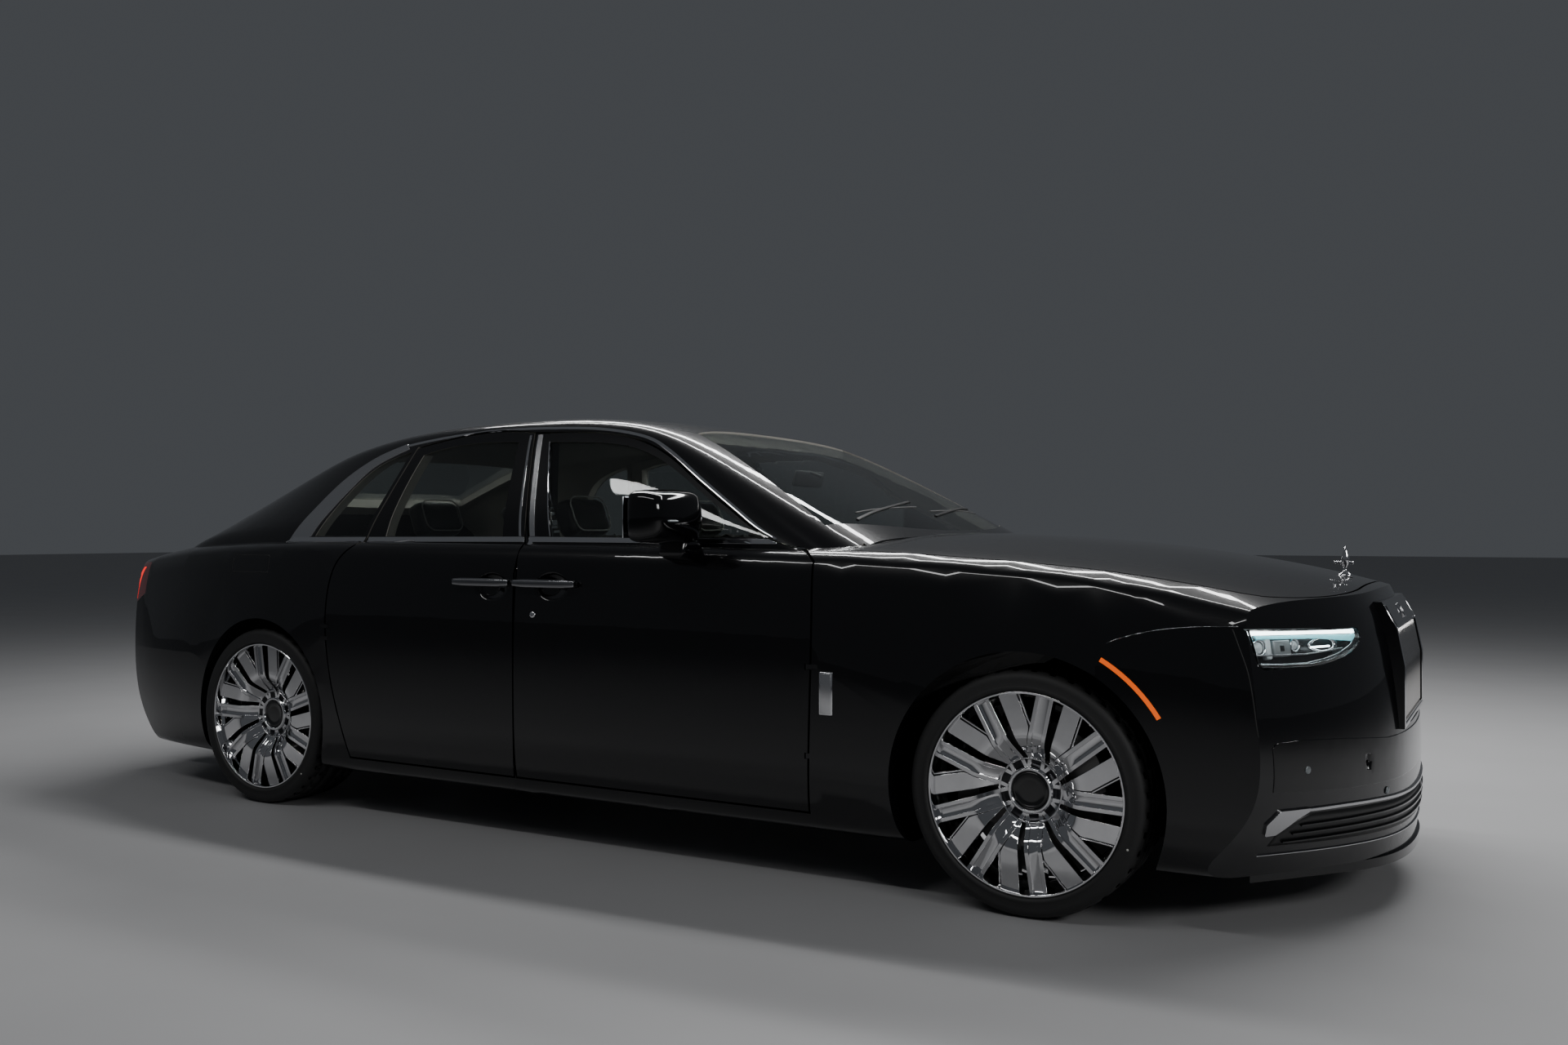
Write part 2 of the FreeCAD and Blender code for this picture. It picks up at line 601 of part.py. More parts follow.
# Doors
door_specs = (
    ("front", front_door_chains, FRONT_LEAN_SHARE, FRONT_WINDOW_SHARES, FRONT_HINGE_X,
     FRONT_HINGE_HEIGHTS, 1),
    ("rear", rear_door_chains, REAR_LEAN_SHARE, REAR_WINDOW_SHARES, REAR_HINGE_X, REAR_HINGE_HEIGHTS, -1),
)
side_wall = outer.cut(cabin).common(box(-HALF_LENGTH, HALF_LENGTH, 0, HALF_WIDTH * 1.1, SILL_Z, HEIGHT * 1.1))
doors = {}
door_cuts = []
hinge_arms = []
for name, chains, lean, window_shares, hinge_x, heights, ahead in door_specs:
    door_cuts.append(leaning_side(chains, lean, SHUT_GAP / 2))
    window_chains = [shares_to_side(chain) for chain in window_shares]
    door = side_wall.common(leaning_side(chains, lean, -SHUT_GAP / 2)).cut(side_prism(window_chains))
    for height in heights:
        shapes = edge_hinge(ahead)
        for shape in shapes:
            shape.translate(V(hinge_x, HINGE_Y, height))
        hinge_arms.append(shapes[0])
        door = cut(door, *shapes[1:])
    door = largest(door)
    doors[name] = door
    glass = largest(glass_layer.common(side_prism(window_chains, -SEAL_GAP)))
    for side_name, side in SIDES:
        save(on_side(door, side), "door_" + name + "_" + side_name)
        save(on_side(glass, side), "door_glass_" + name + "_" + side_name)

# Room in the shell for the rear door's edge where it passes close to its hinge line
swing_room = Part.makeCylinder(HINGE_INSET + SWING_GAP, SWING_HIGH_Z - SWING_LOW_Z,
                               V(REAR_HINGE_X, HINGE_Y, SWING_LOW_Z))
for height in (SWING_LOW_Z, SWING_HIGH_Z):
    swing_room = swing_room.fuse(Part.makeSphere(HINGE_INSET + SWING_GAP, V(REAR_HINGE_X, HINGE_Y, height)))
door_cuts.append(swing_room)

# Hood and boot lid
lid_under = lower_body(LID_THICKNESS)
hood = outer.common(drafted_plan(hood_chains, HOOD_DRAFTS, HOOD_LEVELS, -SHUT_GAP / 2, HEIGHT / 2,
                                 HEIGHT)).cut(lid_under)
hood = largest(hood)


# Hood hinges: a lug on the hood turns on a pin across a slot in the shell
LUG_RADIUS = 7.0
LUG_WIDTH = 14.0
LUG_REACH = 36.0
LUG_ROOM = 6.0
LUG_PIN_RADIUS = 3.5
HOOD_HINGE_X = 1215.0
HOOD_HINGE_Y = 790.0
HOOD_HINGE_Z = 1068.0


def lug_hinge(y):
    """The hood's lug and bore, the shell's slot and the shell's pin."""
    axis = V(HOOD_HINGE_X, y, HOOD_HINGE_Z)
    half_lug = V(0, LUG_WIDTH / 2, 0)
    half_slot = V(0, LUG_WIDTH / 2 + LUG_ROOM, 0)
    half_pin = V(0, LUG_WIDTH / 2 + LUG_ROOM + LUG_RADIUS, 0)
    room = LUG_RADIUS + LUG_ROOM
    lug = rod(axis - half_lug, axis + half_lug, LUG_RADIUS)
    lug = lug.fuse(box(axis.x, axis.x + LUG_REACH, y - half_lug.y, y + half_lug.y,
                       axis.z - LUG_RADIUS * 2, axis.z))
    bore = rod(axis - half_lug, axis + half_lug, LUG_PIN_RADIUS + RUNNING_GAP)
    slot = rod(axis - half_slot, axis + half_slot, room)
    slot = slot.fuse(box(axis.x, axis.x + LUG_REACH + LUG_ROOM, y - half_slot.y, y + half_slot.y,
                         axis.z - LUG_RADIUS * 2 - LUG_ROOM, axis.z + room * 2))
    return lug, bore, slot, rod(axis - half_pin, axis + half_pin, LUG_PIN_RADIUS)


hood_slots = []
hood_pins = []
for _, side in SIDES:
    lug, bore, slot, pin = lug_hinge(side * HOOD_HINGE_Y)
    hood = hood.fuse(lug).cut(bore)
    hood_slots.append(slot)
    hood_pins.append(pin)
hood = save(largest(hood), "hood")

# Boot lid, hung from two edge hinges just under its front edge
PLATE_HOLE_SPACING = 305.0
PLATE_HOLE_RADIUS = 3.0
PLATE_Z = 760.0
BOOT_HINGE_X = BOOT_LID_SHARES[1][0][0] * HALF_LENGTH - SHUT_GAP / 2 - HINGE_SETBACK
BOOT_HINGE_Y = 150.0
BOOT_HINGE_Z = 1244.0
boot_region = plan_prism(boot_chains, -SHUT_GAP / 2, BOOT_LID_FOOT_Z, HEIGHT)
boot_lid = outer.common(boot_region).cut(lid_under.common(tail_block(LID_THICKNESS)))
plate_holes = [rod(V(-HALF_LENGTH, y, PLATE_Z), V(-0.9 * HALF_LENGTH, y, PLATE_Z), PLATE_HOLE_RADIUS)
               for y in (-PLATE_HOLE_SPACING / 2, PLATE_HOLE_SPACING / 2)]
boot_lid = largest(cut(boot_lid, glass_house(LID_THICKNESS), *plate_holes))
boot_arms = []
for _, side in SIDES:
    shapes = edge_hinge(1)
    for shape in shapes:
        shape.rotate(V(0, 0, 0), V(1, 0, 0), 90)
        shape.translate(V(BOOT_HINGE_X, side * BOOT_HINGE_Y, BOOT_HINGE_Z))
    boot_arms.append(shapes[0])
    boot_lid = cut(boot_lid, *shapes[1:])
save(largest(boot_lid), "boot_lid")

# Bumpers
front_core = box(0, BAY_FRONT_X + BUMPER_WALL * 2, -0.76 * HALF_WIDTH, 0.76 * HALF_WIDTH,
                 SILL_Z + BUMPER_WALL, HEIGHT)
rear_core = box(-0.905 * HALF_LENGTH, 0, -0.72 * HALF_WIDTH, 0.72 * HALF_WIDTH, SILL_Z + BUMPER_WALL, HEIGHT)
belly_only = belly.common(nose).common(tail)
front_region = side_prism(front_bumper_chains, 0.0, -HALF_WIDTH * 1.1, HALF_WIDTH * 1.1)
rear_region = side_prism(rear_bumper_chains, 0.0, -HALF_WIDTH * 1.1, HALF_WIDTH * 1.1)
hood_cut = drafted_plan(hood_chains, HOOD_DRAFTS, HOOD_LEVELS, SHUT_GAP / 2, HEIGHT / 2, HEIGHT)
front_bumper = cut(belly_only.common(front_region), front_core, *houses[:2])
front_bumper = front_bumper.cut(hood_cut.cut(lower_body(LID_THICKNESS + SHUT_GAP)))
rear_bumper = cut(belly_only.common(rear_region), rear_core, *houses[2:])

# Grille: a surround with upright vanes, set in the nose
GRILLE_HALF_WIDTH = 330.0
GRILLE_FOOT_Z = 540.0
GRILLE_TOP_Z = 915.0
GRILLE_BACK_X = 2640.0
GRILLE_FACE_X = 2778.0
GRILLE_TOP_STEP = 62.0
GRILLE_FRAME = 22.0
GRILLE_HEADER = 78.0
GRILLE_RECESS = 30.0
VANE_COUNT = 28
VANE_THICKNESS = 7.0


def grille_profile(grow, back, face):
    points = [V(back, 0, GRILLE_FOOT_Z - grow), V(face, 0, GRILLE_FOOT_Z - grow),
              V(face, 0, (GRILLE_FOOT_Z + GRILLE_TOP_Z) / 2), V(face - GRILLE_TOP_STEP / 3, 0,
                  GRILLE_TOP_Z - GRILLE_HEADER),
              V(face - GRILLE_TOP_STEP, 0, GRILLE_TOP_Z + grow), V(back, 0, GRILLE_TOP_Z + grow)]
    return Part.Face(Part.makePolygon(points + points[:1]))


def grille_block(grow, back, face):
    face_shape = grille_profile(grow, back, face)
    face_shape.translate(V(0, -GRILLE_HALF_WIDTH - grow, 0))
    return face_shape.extrude(V(0, 2 * (GRILLE_HALF_WIDTH + grow), 0))


grille_outer = grille_block(0.0, GRILLE_BACK_X, GRILLE_FACE_X)
grille_pocket = grille_block(SEAL_GAP, GRILLE_BACK_X - SEAL_GAP, GRILLE_FACE_X + FLANK_TUCK)
grille_hole = box(GRILLE_BACK_X - GRILLE_FRAME, GRILLE_FACE_X * 1.1, -GRILLE_HALF_WIDTH + GRILLE_FRAME,
                  GRILLE_HALF_WIDTH - GRILLE_FRAME,
                  GRILLE_FOOT_Z + GRILLE_FRAME, GRILLE_TOP_Z - GRILLE_HEADER)
grille = grille_outer.cut(grille_hole)
pitch = 2 * (GRILLE_HALF_WIDTH - GRILLE_FRAME) / VANE_COUNT
vanes = []
for i in range(1, VANE_COUNT):
    y = -GRILLE_HALF_WIDTH + GRILLE_FRAME + i * pitch
    vanes.append(box(GRILLE_FACE_X - GRILLE_FRAME * 4, GRILLE_FACE_X - GRILLE_FRAME * 1.2,
                     y - VANE_THICKNESS / 2, y + VANE_THICKNESS / 2,
                     GRILLE_FOOT_Z + GRILLE_FRAME / 2, GRILLE_TOP_Z - GRILLE_HEADER + GRILLE_FRAME / 2))
rail = box(GRILLE_FACE_X - GRILLE_FRAME * 4, GRILLE_FACE_X - GRILLE_FRAME * 3,
           -GRILLE_HALF_WIDTH + GRILLE_FRAME / 2, GRILLE_HALF_WIDTH - GRILLE_FRAME / 2,
           GRILLE_FOOT_Z + GRILLE_TOP_STEP * 2, GRILLE_FOOT_Z + GRILLE_TOP_STEP * 2 + GRILLE_FRAME)
grille = fused(grille, *vanes, rail)
save(grille, "grille")

# Lamps
LAMP_DEPTH = 70.0


def lamp_region(shares, side, grow, near, far):
    chains = [[(a * HALF_WIDTH * -side, b * HEIGHT) for a, b in chain] for chain in shares]
    if side > 0:
        chains = [chain[::-1] for chain in chains[::-1]]
    return front_prism(chains, grow, near, far)


front_near = 0.8 * HALF_LENGTH
lamp_skin = belly_only.cut(nose_block(LAMP_DEPTH))
lamp_back = nose_block(LAMP_DEPTH + SEAL_GAP)
headlamps = []
lamp_cuts = []
for _, side in SIDES:
    region = lamp_region(HEADLAMP_SHARES, side, -SEAL_GAP, front_near, HALF_LENGTH * 1.1)
    pocket = lamp_region(HEADLAMP_SHARES, side, 0.0, front_near, HALF_LENGTH * 1.1)
    headlamps.append(largest(lamp_skin.common(region)))
    lamp_cuts.append(pocket.cut(lamp_back))
save(Part.makeCompound(headlamps), "headlamps")
tail_skin = belly_only.cut(tail_block(LAMP_DEPTH)).common(box(-HALF_LENGTH, -0.8 * HALF_LENGTH,
    -HALF_WIDTH, HALF_WIDTH, 0, HEIGHT))
tail_back = tail_block(LAMP_DEPTH + SEAL_GAP)
tail_lamps = []
tail_cuts = []
for _, side in SIDES:
    region = lamp_region(TAIL_LAMP_SHARES, side, -SEAL_GAP, -HALF_LENGTH * 1.1, -0.8 * HALF_LENGTH)
    pocket = lamp_region(TAIL_LAMP_SHARES, side, 0.0, -HALF_LENGTH * 1.1, -0.8 * HALF_LENGTH)
    tail_lamps.append(largest(tail_skin.common(region)))
    tail_cuts.append(pocket.cut(tail_back))
save(Part.makeCompound(tail_lamps), "tail_lamps")

TOW_Y = 560.0
TOW_Z = 470.0
TOW_FACE_X = 2700.0
TOW_RADIUS = 9.0
TOW_LENGTH = 40.0
TOW_SEAT_RADIUS = 24.0
tow_seat = rod(V(TOW_FACE_X, -TOW_Y, TOW_Z), V(HALF_LENGTH, -TOW_Y, TOW_Z), TOW_SEAT_RADIUS)
tow_hole = rod(V(TOW_FACE_X - TOW_LENGTH, -TOW_Y, TOW_Z), V(HALF_LENGTH, -TOW_Y, TOW_Z), TOW_RADIUS)
front_bumper = largest(cut(front_bumper, grille_pocket, tow_seat, tow_hole, *lamp_cuts))
save(front_bumper, "front_bumper")

# Exhaust tips, seated in round holes of the bumper and the shell
EXHAUST_Y = 600.0
EXHAUST_Z = 262.0
EXHAUST_RADIUS = 44.0
EXHAUST_WALL = 5.0
EXHAUST_LENGTH = 180.0
EXHAUST_X = -2690.0
tips = []
for _, side in SIDES:
    start = V(EXHAUST_X, side * EXHAUST_Y, EXHAUST_Z)
    stop = start + V(EXHAUST_LENGTH, 0, 0)
    tips.append(rod(start, stop, EXHAUST_RADIUS).cut(rod(start, stop - V(EXHAUST_WALL, 0, 0),
                                                         EXHAUST_RADIUS - EXHAUST_WALL)))
save(Part.makeCompound(tips), "exhaust_tips")
exhaust_cut = [rod(V(-HALF_LENGTH, side * EXHAUST_Y, EXHAUST_Z), V(EXHAUST_X + EXHAUST_LENGTH,
    side * EXHAUST_Y, EXHAUST_Z), EXHAUST_RADIUS + SEAL_GAP) for _, side in SIDES]
rear_bumper = largest(cut(rear_bumper, *exhaust_cut))
save(rear_bumper, "rear_bumper")

# Body shell
body = outer.cut(cabin)
for region in door_cuts:
    body = cut(body, region, mirrored(region))
body = cut(body, *houses)
body = body.cut(hood_cut.cut(lower_body(LID_THICKNESS + SHUT_GAP)))
boot_cut = plan_prism(boot_chains, SHUT_GAP / 2, BOOT_LID_FOOT_Z - SHUT_GAP, HEIGHT)
boot_core = lower_body(LID_THICKNESS + SHUT_GAP).common(tail_block(LID_THICKNESS + SHUT_GAP))
body = body.cut(boot_cut.cut(boot_core).cut(glass_house(LID_THICKNESS + SHUT_GAP)))
front_shell = front_region.cut(front_core)
rear_shell = rear_region.cut(rear_core)
body = cut(body, front_shell, rear_shell)
body = cut(body, grille_pocket, *lamp_cuts, *tail_cuts, *exhaust_cut)
bay = box(BAY_REAR_X, BAY_FRONT_X, -BAY_HALF_WIDTH, BAY_HALF_WIDTH, SILL_Z + UNDER_WALL, HEIGHT)
boot = box(BOOT_REAR_X, BOOT_FRONT_X, -BOOT_HALF_WIDTH, BOOT_HALF_WIDTH, BOOT_FLOOR_Z, BELT_Z - UNDER_WALL)
boot_mouth = box(BOOT_REAR_X, BOOT_MOUTH_X, -BOOT_HALF_WIDTH, BOOT_HALF_WIDTH, BOOT_FLOOR_Z, HEIGHT)
body = cut(body, bay, boot, boot_mouth)
quarter_chains = [shares_to_side(chain) for chain in QUARTER_SHARES]
quarter = side_prism(quarter_chains, 0.0, 0.4 * HALF_WIDTH)
screen = plan_prism(screen_chains, 0.0, BELT_Z * 0.9, HEIGHT)
backlight = plan_prism(backlight_chains, 0.0, BELT_Z * 0.9, HEIGHT)
body = cut(body, quarter, mirrored(quarter), screen, backlight)
body = cut(largest(body), *hood_slots)
for arm in hinge_arms:
    body = body.fuse(arm).fuse(mirrored(arm))
for shape in hood_pins + boot_arms:
    body = body.fuse(shape)
body = largest(body)

# Fixed glass
panes = [glass_layer.common(plan_prism(screen_chains, -SEAL_GAP, BELT_Z * 0.9, HEIGHT)),
         glass_layer.common(plan_prism(backlight_chains, -SEAL_GAP, BELT_Z * 0.9, HEIGHT))]
quarter_glass = largest(glass_layer.common(side_prism(quarter_chains, -SEAL_GAP, 0.4 * HALF_WIDTH)))
panes = [largest(pane) for pane in panes] + [quarter_glass, mirrored(quarter_glass)]
save(Part.makeCompound(panes), "fixed_glass")


# Wheels: the rim is turned about Y, with nine flat blades between nine pairs of ribs
SPOKE_COUNT = 9
SPOKE_PITCH = 360.0 / SPOKE_COUNT
# A blade's outline as shares of the rim radius: along the pair of ribs before it, and across it
BLADE_SHARES = ((0.24, 0.12), (0.307, 0.137), (0.975, 0.196), (0.93, 0.38), (0.553, 0.347),
                (0.337, 0.167), (0.26, 0.135))


def turned(points):
    """Turns an outline of (radius, Y) about the wheel's axis."""
    wire = Part.makePolygon([V(r, y, 0) for r, y in points + points[:1]])
    return Part.Face(wire).revolve(V(0, 0, 0), V(0, 1, 0), 360)


def flat_spoke(outline, front, back):
    """A bar from an outline of (radius, across), standing upright at the wheel's top."""
    face = Part.Face(Part.makePolygon([V(across, front, radius) for radius, across in outline + outline[:1]]))
    return face.extrude(V(0, back - front, 0))


SPINDLE_RADIUS = 30.0
SPINDLE_REACH = 40.0
half_tyre = TYRE_WIDTH / 2
face_y = -half_tyre + RIM_LIP
tyre = turned([(RIM_RADIUS, face_y), (TYRE_RADIUS - TYRE_CROWN, -half_tyre), (TYRE_RADIUS, 0),
               (TYRE_RADIUS - TYRE_CROWN, half_tyre), (RIM_RADIUS, -face_y)])
barrel = turned([(RIM_RADIUS, face_y), (RIM_RADIUS, -face_y), (RIM_RADIUS - RIM_WALL, -face_y),
                 (RIM_RADIUS - RIM_WALL * 3, 0),
                 (RIM_RADIUS - RIM_WALL * 3, face_y + SPOKE_DEPTH * 2), (RIM_RADIUS - RIM_WALL,
                     face_y + SPOKE_DEPTH), (RIM_RADIUS - RIM_WALL, face_y)])
hub_face = face_y + HUB_INSET
spoke_face = face_y + SPOKE_FACE_INSET
hub = turned([(0, hub_face), (HUB_RADIUS * 0.8, hub_face), (HUB_RADIUS, hub_face + SPOKE_DEPTH / 2),
              (HUB_RADIUS, hub_face + SPOKE_DEPTH), (0, hub_face + SPOKE_DEPTH)])
cap = turned([(0, hub_face - SPOKE_DEPTH), (CAP_RADIUS, hub_face - SPOKE_DEPTH),
              (CAP_RADIUS * 1.25, hub_face - SPOKE_DEPTH / 2), (CAP_RADIUS * 1.25, hub_face),
    (0, hub_face)])
bend = 0.45 * RIM_RADIUS
tip = RIM_RADIUS - RIM_WALL / 2


def spoke_band(near, far):
    """The volume that the spoke faces follow: flat outboard and sloping in to the hub."""
    return turned([(0, near + HUB_INSET - SPOKE_FACE_INSET), (bend * 0.62,
        near + HUB_INSET - SPOKE_FACE_INSET), (bend * 1.25, near), (RIM_RADIUS, near),
                   (RIM_RADIUS, far), (bend * 1.25, far), (bend * 0.62,
                                                           far + HUB_INSET - SPOKE_FACE_INSET),
                       (0, far + HUB_INSET - SPOKE_FACE_INSET)])


band = spoke_band(spoke_face, spoke_face + SPOKE_DEPTH)
blade_band = spoke_band(spoke_face + BLADE_INSET, spoke_face + SPOKE_DEPTH)
valley_band = spoke_band(spoke_face - SPOKE_DEPTH, spoke_face + VALLEY_DEPTH)
blade = flat_spoke([(r * RIM_RADIUS, across * RIM_RADIUS) for r, across in BLADE_SHARES], -half_tyre,
                   half_tyre)
ribs = flat_spoke([(HUB_RADIUS * 0.7, -RIB_WIDTH / 2), (tip, -RIB_WIDTH / 2), (tip, RIB_WIDTH / 2),
                   (HUB_RADIUS * 0.7, RIB_WIDTH / 2)],
                  -half_tyre, half_tyre)
valley = flat_spoke([(HUB_RADIUS * 1.25, -VALLEY_WIDTH / 4), (HUB_RADIUS * 1.5, -VALLEY_WIDTH / 2),
                     (tip, -VALLEY_WIDTH / 2),
                     (tip, VALLEY_WIDTH / 2), (HUB_RADIUS * 1.5, VALLEY_WIDTH / 2), (HUB_RADIUS * 1.25,
                         VALLEY_WIDTH / 4)],
                    -half_tyre, half_tyre)
spoke = ribs.common(band).cut(valley.common(valley_band)).fuse(blade.common(blade_band))
spokes = []
for i in range(SPOKE_COUNT):
    turn = spoke.copy()
    turn.rotate(V(0, 0, 0), V(0, 1, 0), i * SPOKE_PITCH)
    spokes.append(turn)
disc_y = hub_face + SPOKE_DEPTH + DISC_OFFSET
disc = turned([(0, hub_face + SPOKE_DEPTH / 2), (HUB_RADIUS * 0.8, hub_face + SPOKE_DEPTH / 2),
               (HUB_RADIUS * 0.8, disc_y), (DISC_RADIUS, disc_y),
               (DISC_RADIUS, disc_y + DISC_THICKNESS), (0, disc_y + DISC_THICKNESS)])
spindle_bore = rod(V(0, disc_y + DISC_THICKNESS - SPINDLE_REACH, 0), V(0, disc_y + DISC_THICKNESS, 0),
                   SPINDLE_RADIUS + RUNNING_GAP)
wheel = fused(barrel, hub, cap, disc, *spokes).cut(spindle_bore)
places = (("front", FRONT_AXLE_X), ("rear", REAR_AXLE_X))
for end, axle_x in places:
    for side_name, side in SIDES:
        for name, shape in (("tyre", tyre), ("wheel", wheel)):
            turn = shape.copy()
            if side > 0:
                turn.rotate(V(0, 0, 0), V(0, 0, 1), 180)
            turn.translate(V(axle_x, side * WHEEL_Y, AXLE_Z))
            save(turn, name + "_" + end + "_" + side_name)

# Knuckles carry the brake calipers and the inner hubs
KNUCKLE_GAP = 6.0
KNUCKLE_REACH = 70.0
KNUCKLE_RADIUS = 60.0
POST_RADIUS = 26.0
POST_HEIGHT = 150.0
PIVOT_RADIUS = 10.0
PIVOT_REACH = 36.0


def knuckle(axle_x, side):
    inner = WHEEL_Y - (disc_y + DISC_THICKNESS) - KNUCKLE_GAP
    carrier = rod(V(axle_x, inner, AXLE_Z), V(axle_x, inner - KNUCKLE_REACH, AXLE_Z), KNUCKLE_RADIUS)
    caliper_x = axle_x - (DISC_RADIUS + KNUCKLE_GAP) if axle_x > 0 else axle_x + DISC_RADIUS + KNUCKLE_GAP
    middle = WHEEL_Y - disc_y - DISC_THICKNESS / 2
    caliper = box(-CALIPER_HEIGHT / 2, CALIPER_HEIGHT / 2, middle - CALIPER_WIDTH / 2,
                  middle + CALIPER_WIDTH / 2,
                  AXLE_Z - CALIPER_LENGTH / 2, AXLE_Z + CALIPER_LENGTH / 2)
    caliper.translate(V(caliper_x, 0, 0))
    slot = rod(V(axle_x, middle - DISC_THICKNESS / 2 - KNUCKLE_GAP, AXLE_Z),
               V(axle_x, middle + DISC_THICKNESS / 2 + KNUCKLE_GAP, AXLE_Z), DISC_RADIUS + KNUCKLE_GAP)
    room = rod(V(axle_x, middle - CALIPER_WIDTH, AXLE_Z), V(axle_x, middle + CALIPER_WIDTH, AXLE_Z),
               RIM_RADIUS - RIM_WALL * 3 - KNUCKLE_GAP)
    caliper = caliper.cut(slot).common(room)
    arm = box(min(caliper_x, axle_x), max(caliper_x, axle_x), inner - KNUCKLE_REACH / 2,
              inner - KNUCKLE_GAP, AXLE_Z - POST_RADIUS, AXLE_Z + POST_RADIUS)
    spindle = rod(V(axle_x, inner, AXLE_Z), V(axle_x, inner + SPINDLE_REACH, AXLE_Z), SPINDLE_RADIUS)
    post = rod(V(axle_x, KINGPIN_Y, AXLE_Z - POST_HEIGHT), V(axle_x, KINGPIN_Y, AXLE_Z + POST_HEIGHT),
               POST_RADIUS)
    socket = rod(V(axle_x, KINGPIN_Y, AXLE_Z - POST_HEIGHT), V(axle_x, KINGPIN_Y,
        AXLE_Z - POST_HEIGHT + PIVOT_REACH + CLEARANCE), PIVOT_RADIUS + RUNNING_GAP)
    whole = fused(carrier, caliper, arm, post, spindle)
    if axle_x > 0:
        whole = whole.cut(socket)
    return on_side(whole, side)


for side_name, side in SIDES:
    save(knuckle(FRONT_AXLE_X, side), "knuckle_front_" + side_name)

# Chassis: cross members, arms and rear hubs
ARM_RADIUS = 22.0
MEMBER_HEIGHT = 80.0
MEMBER_LENGTH = 300.0
inner_y = WHEEL_Y - (disc_y + DISC_THICKNESS) - KNUCKLE_GAP - KNUCKLE_REACH
pieces = []
for end, axle_x in places:
    wall = FRONT_ARCH_WALL_Y if end == "front" else REAR_ARCH_WALL_Y
    member = box(axle_x - MEMBER_LENGTH / 2, axle_x + MEMBER_LENGTH / 2, -wall, wall, SILL_Z,
                 SILL_Z + MEMBER_HEIGHT)
    arms = []
    for _, side in SIDES:
        for ahead in (-1, 1):
            start = V(axle_x + ahead * MEMBER_LENGTH / 3, side * (wall - ARM_RADIUS),
                      SILL_Z + MEMBER_HEIGHT / 2)
            drop = ARM_RADIUS + CLEARANCE if end == "front" else -ARM_RADIUS
            stop = V(axle_x, side * KINGPIN_Y, AXLE_Z - POST_HEIGHT - drop)
            arms.append(rod(start, stop, ARM_RADIUS))
            arms.append(Part.makeSphere(ARM_RADIUS, stop))
            if end == "front":
                arms.append(rod(stop, stop + V(0, 0, drop + PIVOT_REACH), PIVOT_RADIUS))
        if end == "rear":
            arms.append(knuckle(axle_x, side))
    pieces.append(fused(member, *arms))
chassis_cut = [box(axle_x - MEMBER_LENGTH / 2 - SEAL_GAP, axle_x + MEMBER_LENGTH / 2 + SEAL_GAP,
                   -HALF_WIDTH, HALF_WIDTH, 0, SILL_Z + MEMBER_HEIGHT + SEAL_GAP) for _,
    axle_x in places]
save(Part.makeCompound(pieces), "chassis")
body = largest(cut(body, *chassis_cut))
save(body, "body_shell")

# Engine as one plain block
engine = box(BAY_REAR_X + UNDER_WALL, BAY_FRONT_X - UNDER_WALL * 2, -BAY_HALF_WIDTH * 0.7,
             BAY_HALF_WIDTH * 0.7, SILL_Z + UNDER_WALL, BELT_Z * 0.82)
save(engine, "engine_block")

# Front lip
LIP_THICKNESS = 26.0
LIP_DEPTH = 90.0
LIP_Z = SILL_Z - LIP_THICKNESS - SEAL_GAP
LIP_END_X = 2420.0
lip_plan = [(V(x * HALF_LENGTH, y * HALF_WIDTH * 0.97, 0)) for y, x in NOSE_LOW_SHARES[:6]]
lip_points = [V(p.x, -p.y, LIP_Z) for p in lip_plan[:0:-1]] + [V(p.x, p.y, LIP_Z) for p in lip_plan]
curve = Part.BSplineCurve()
curve.interpolate(lip_points)
front_edge = curve.toShape()
back_line = [V(p.x - LIP_DEPTH, p.y * 0.9, LIP_Z) for p in lip_points]
curve = Part.BSplineCurve()
curve.interpolate(back_line)
back_edge = curve.toShape()
lip = Part.Face(Part.Wire(Part.__sortEdges__([front_edge, back_edge, Part.makeLine(lip_points[0],
    back_line[0]), Part.makeLine(lip_points[-1], back_line[-1])])))
lip = lip.extrude(V(0, 0, LIP_THICKNESS))
lip = lip.common(box(LIP_END_X, HALF_LENGTH * 1.1, -HALF_WIDTH, HALF_WIDTH, 0, SILL_Z))
save(largest(lip), "front_lip")

# Handles, mirrors and the plain ornament
HANDLE_LENGTH = 255.0
HANDLE_HEIGHT = 34.0
HANDLE_STAND = 34.0
HANDLE_THICKNESS = 13.0
HANDLE_Z = 936.0
HANDLE_GAP = 14.0
for name, centre in (("front", PILLAR_BELT[0] * HALF_LENGTH + HANDLE_GAP + HANDLE_LENGTH / 2),
                     ("rear", PILLAR_BELT[0] * HALF_LENGTH - HANDLE_GAP - HANDLE_LENGTH / 2)):
    skin = 0.985 * HALF_WIDTH
    bar = box(centre - HANDLE_LENGTH / 2, centre + HANDLE_LENGTH / 2,
              skin + HANDLE_STAND - HANDLE_THICKNESS, skin + HANDLE_STAND, HANDLE_Z - HANDLE_HEIGHT / 2,
        HANDLE_Z + HANDLE_HEIGHT / 2)
    feet = [box(x, x + HANDLE_HEIGHT, skin - HANDLE_THICKNESS / 2,
                skin + HANDLE_STAND - HANDLE_THICKNESS / 2, HANDLE_Z - HANDLE_HEIGHT / 4,
        HANDLE_Z + HANDLE_HEIGHT / 4)
            for x in (centre - HANDLE_LENGTH / 2, centre + HANDLE_LENGTH / 2 - HANDLE_HEIGHT)]
    handle = largest(fused(bar, *feet).cut(doors[name]))
    for side_name, side in SIDES:
        save(on_side(handle, side), "handle_" + name + "_" + side_name)

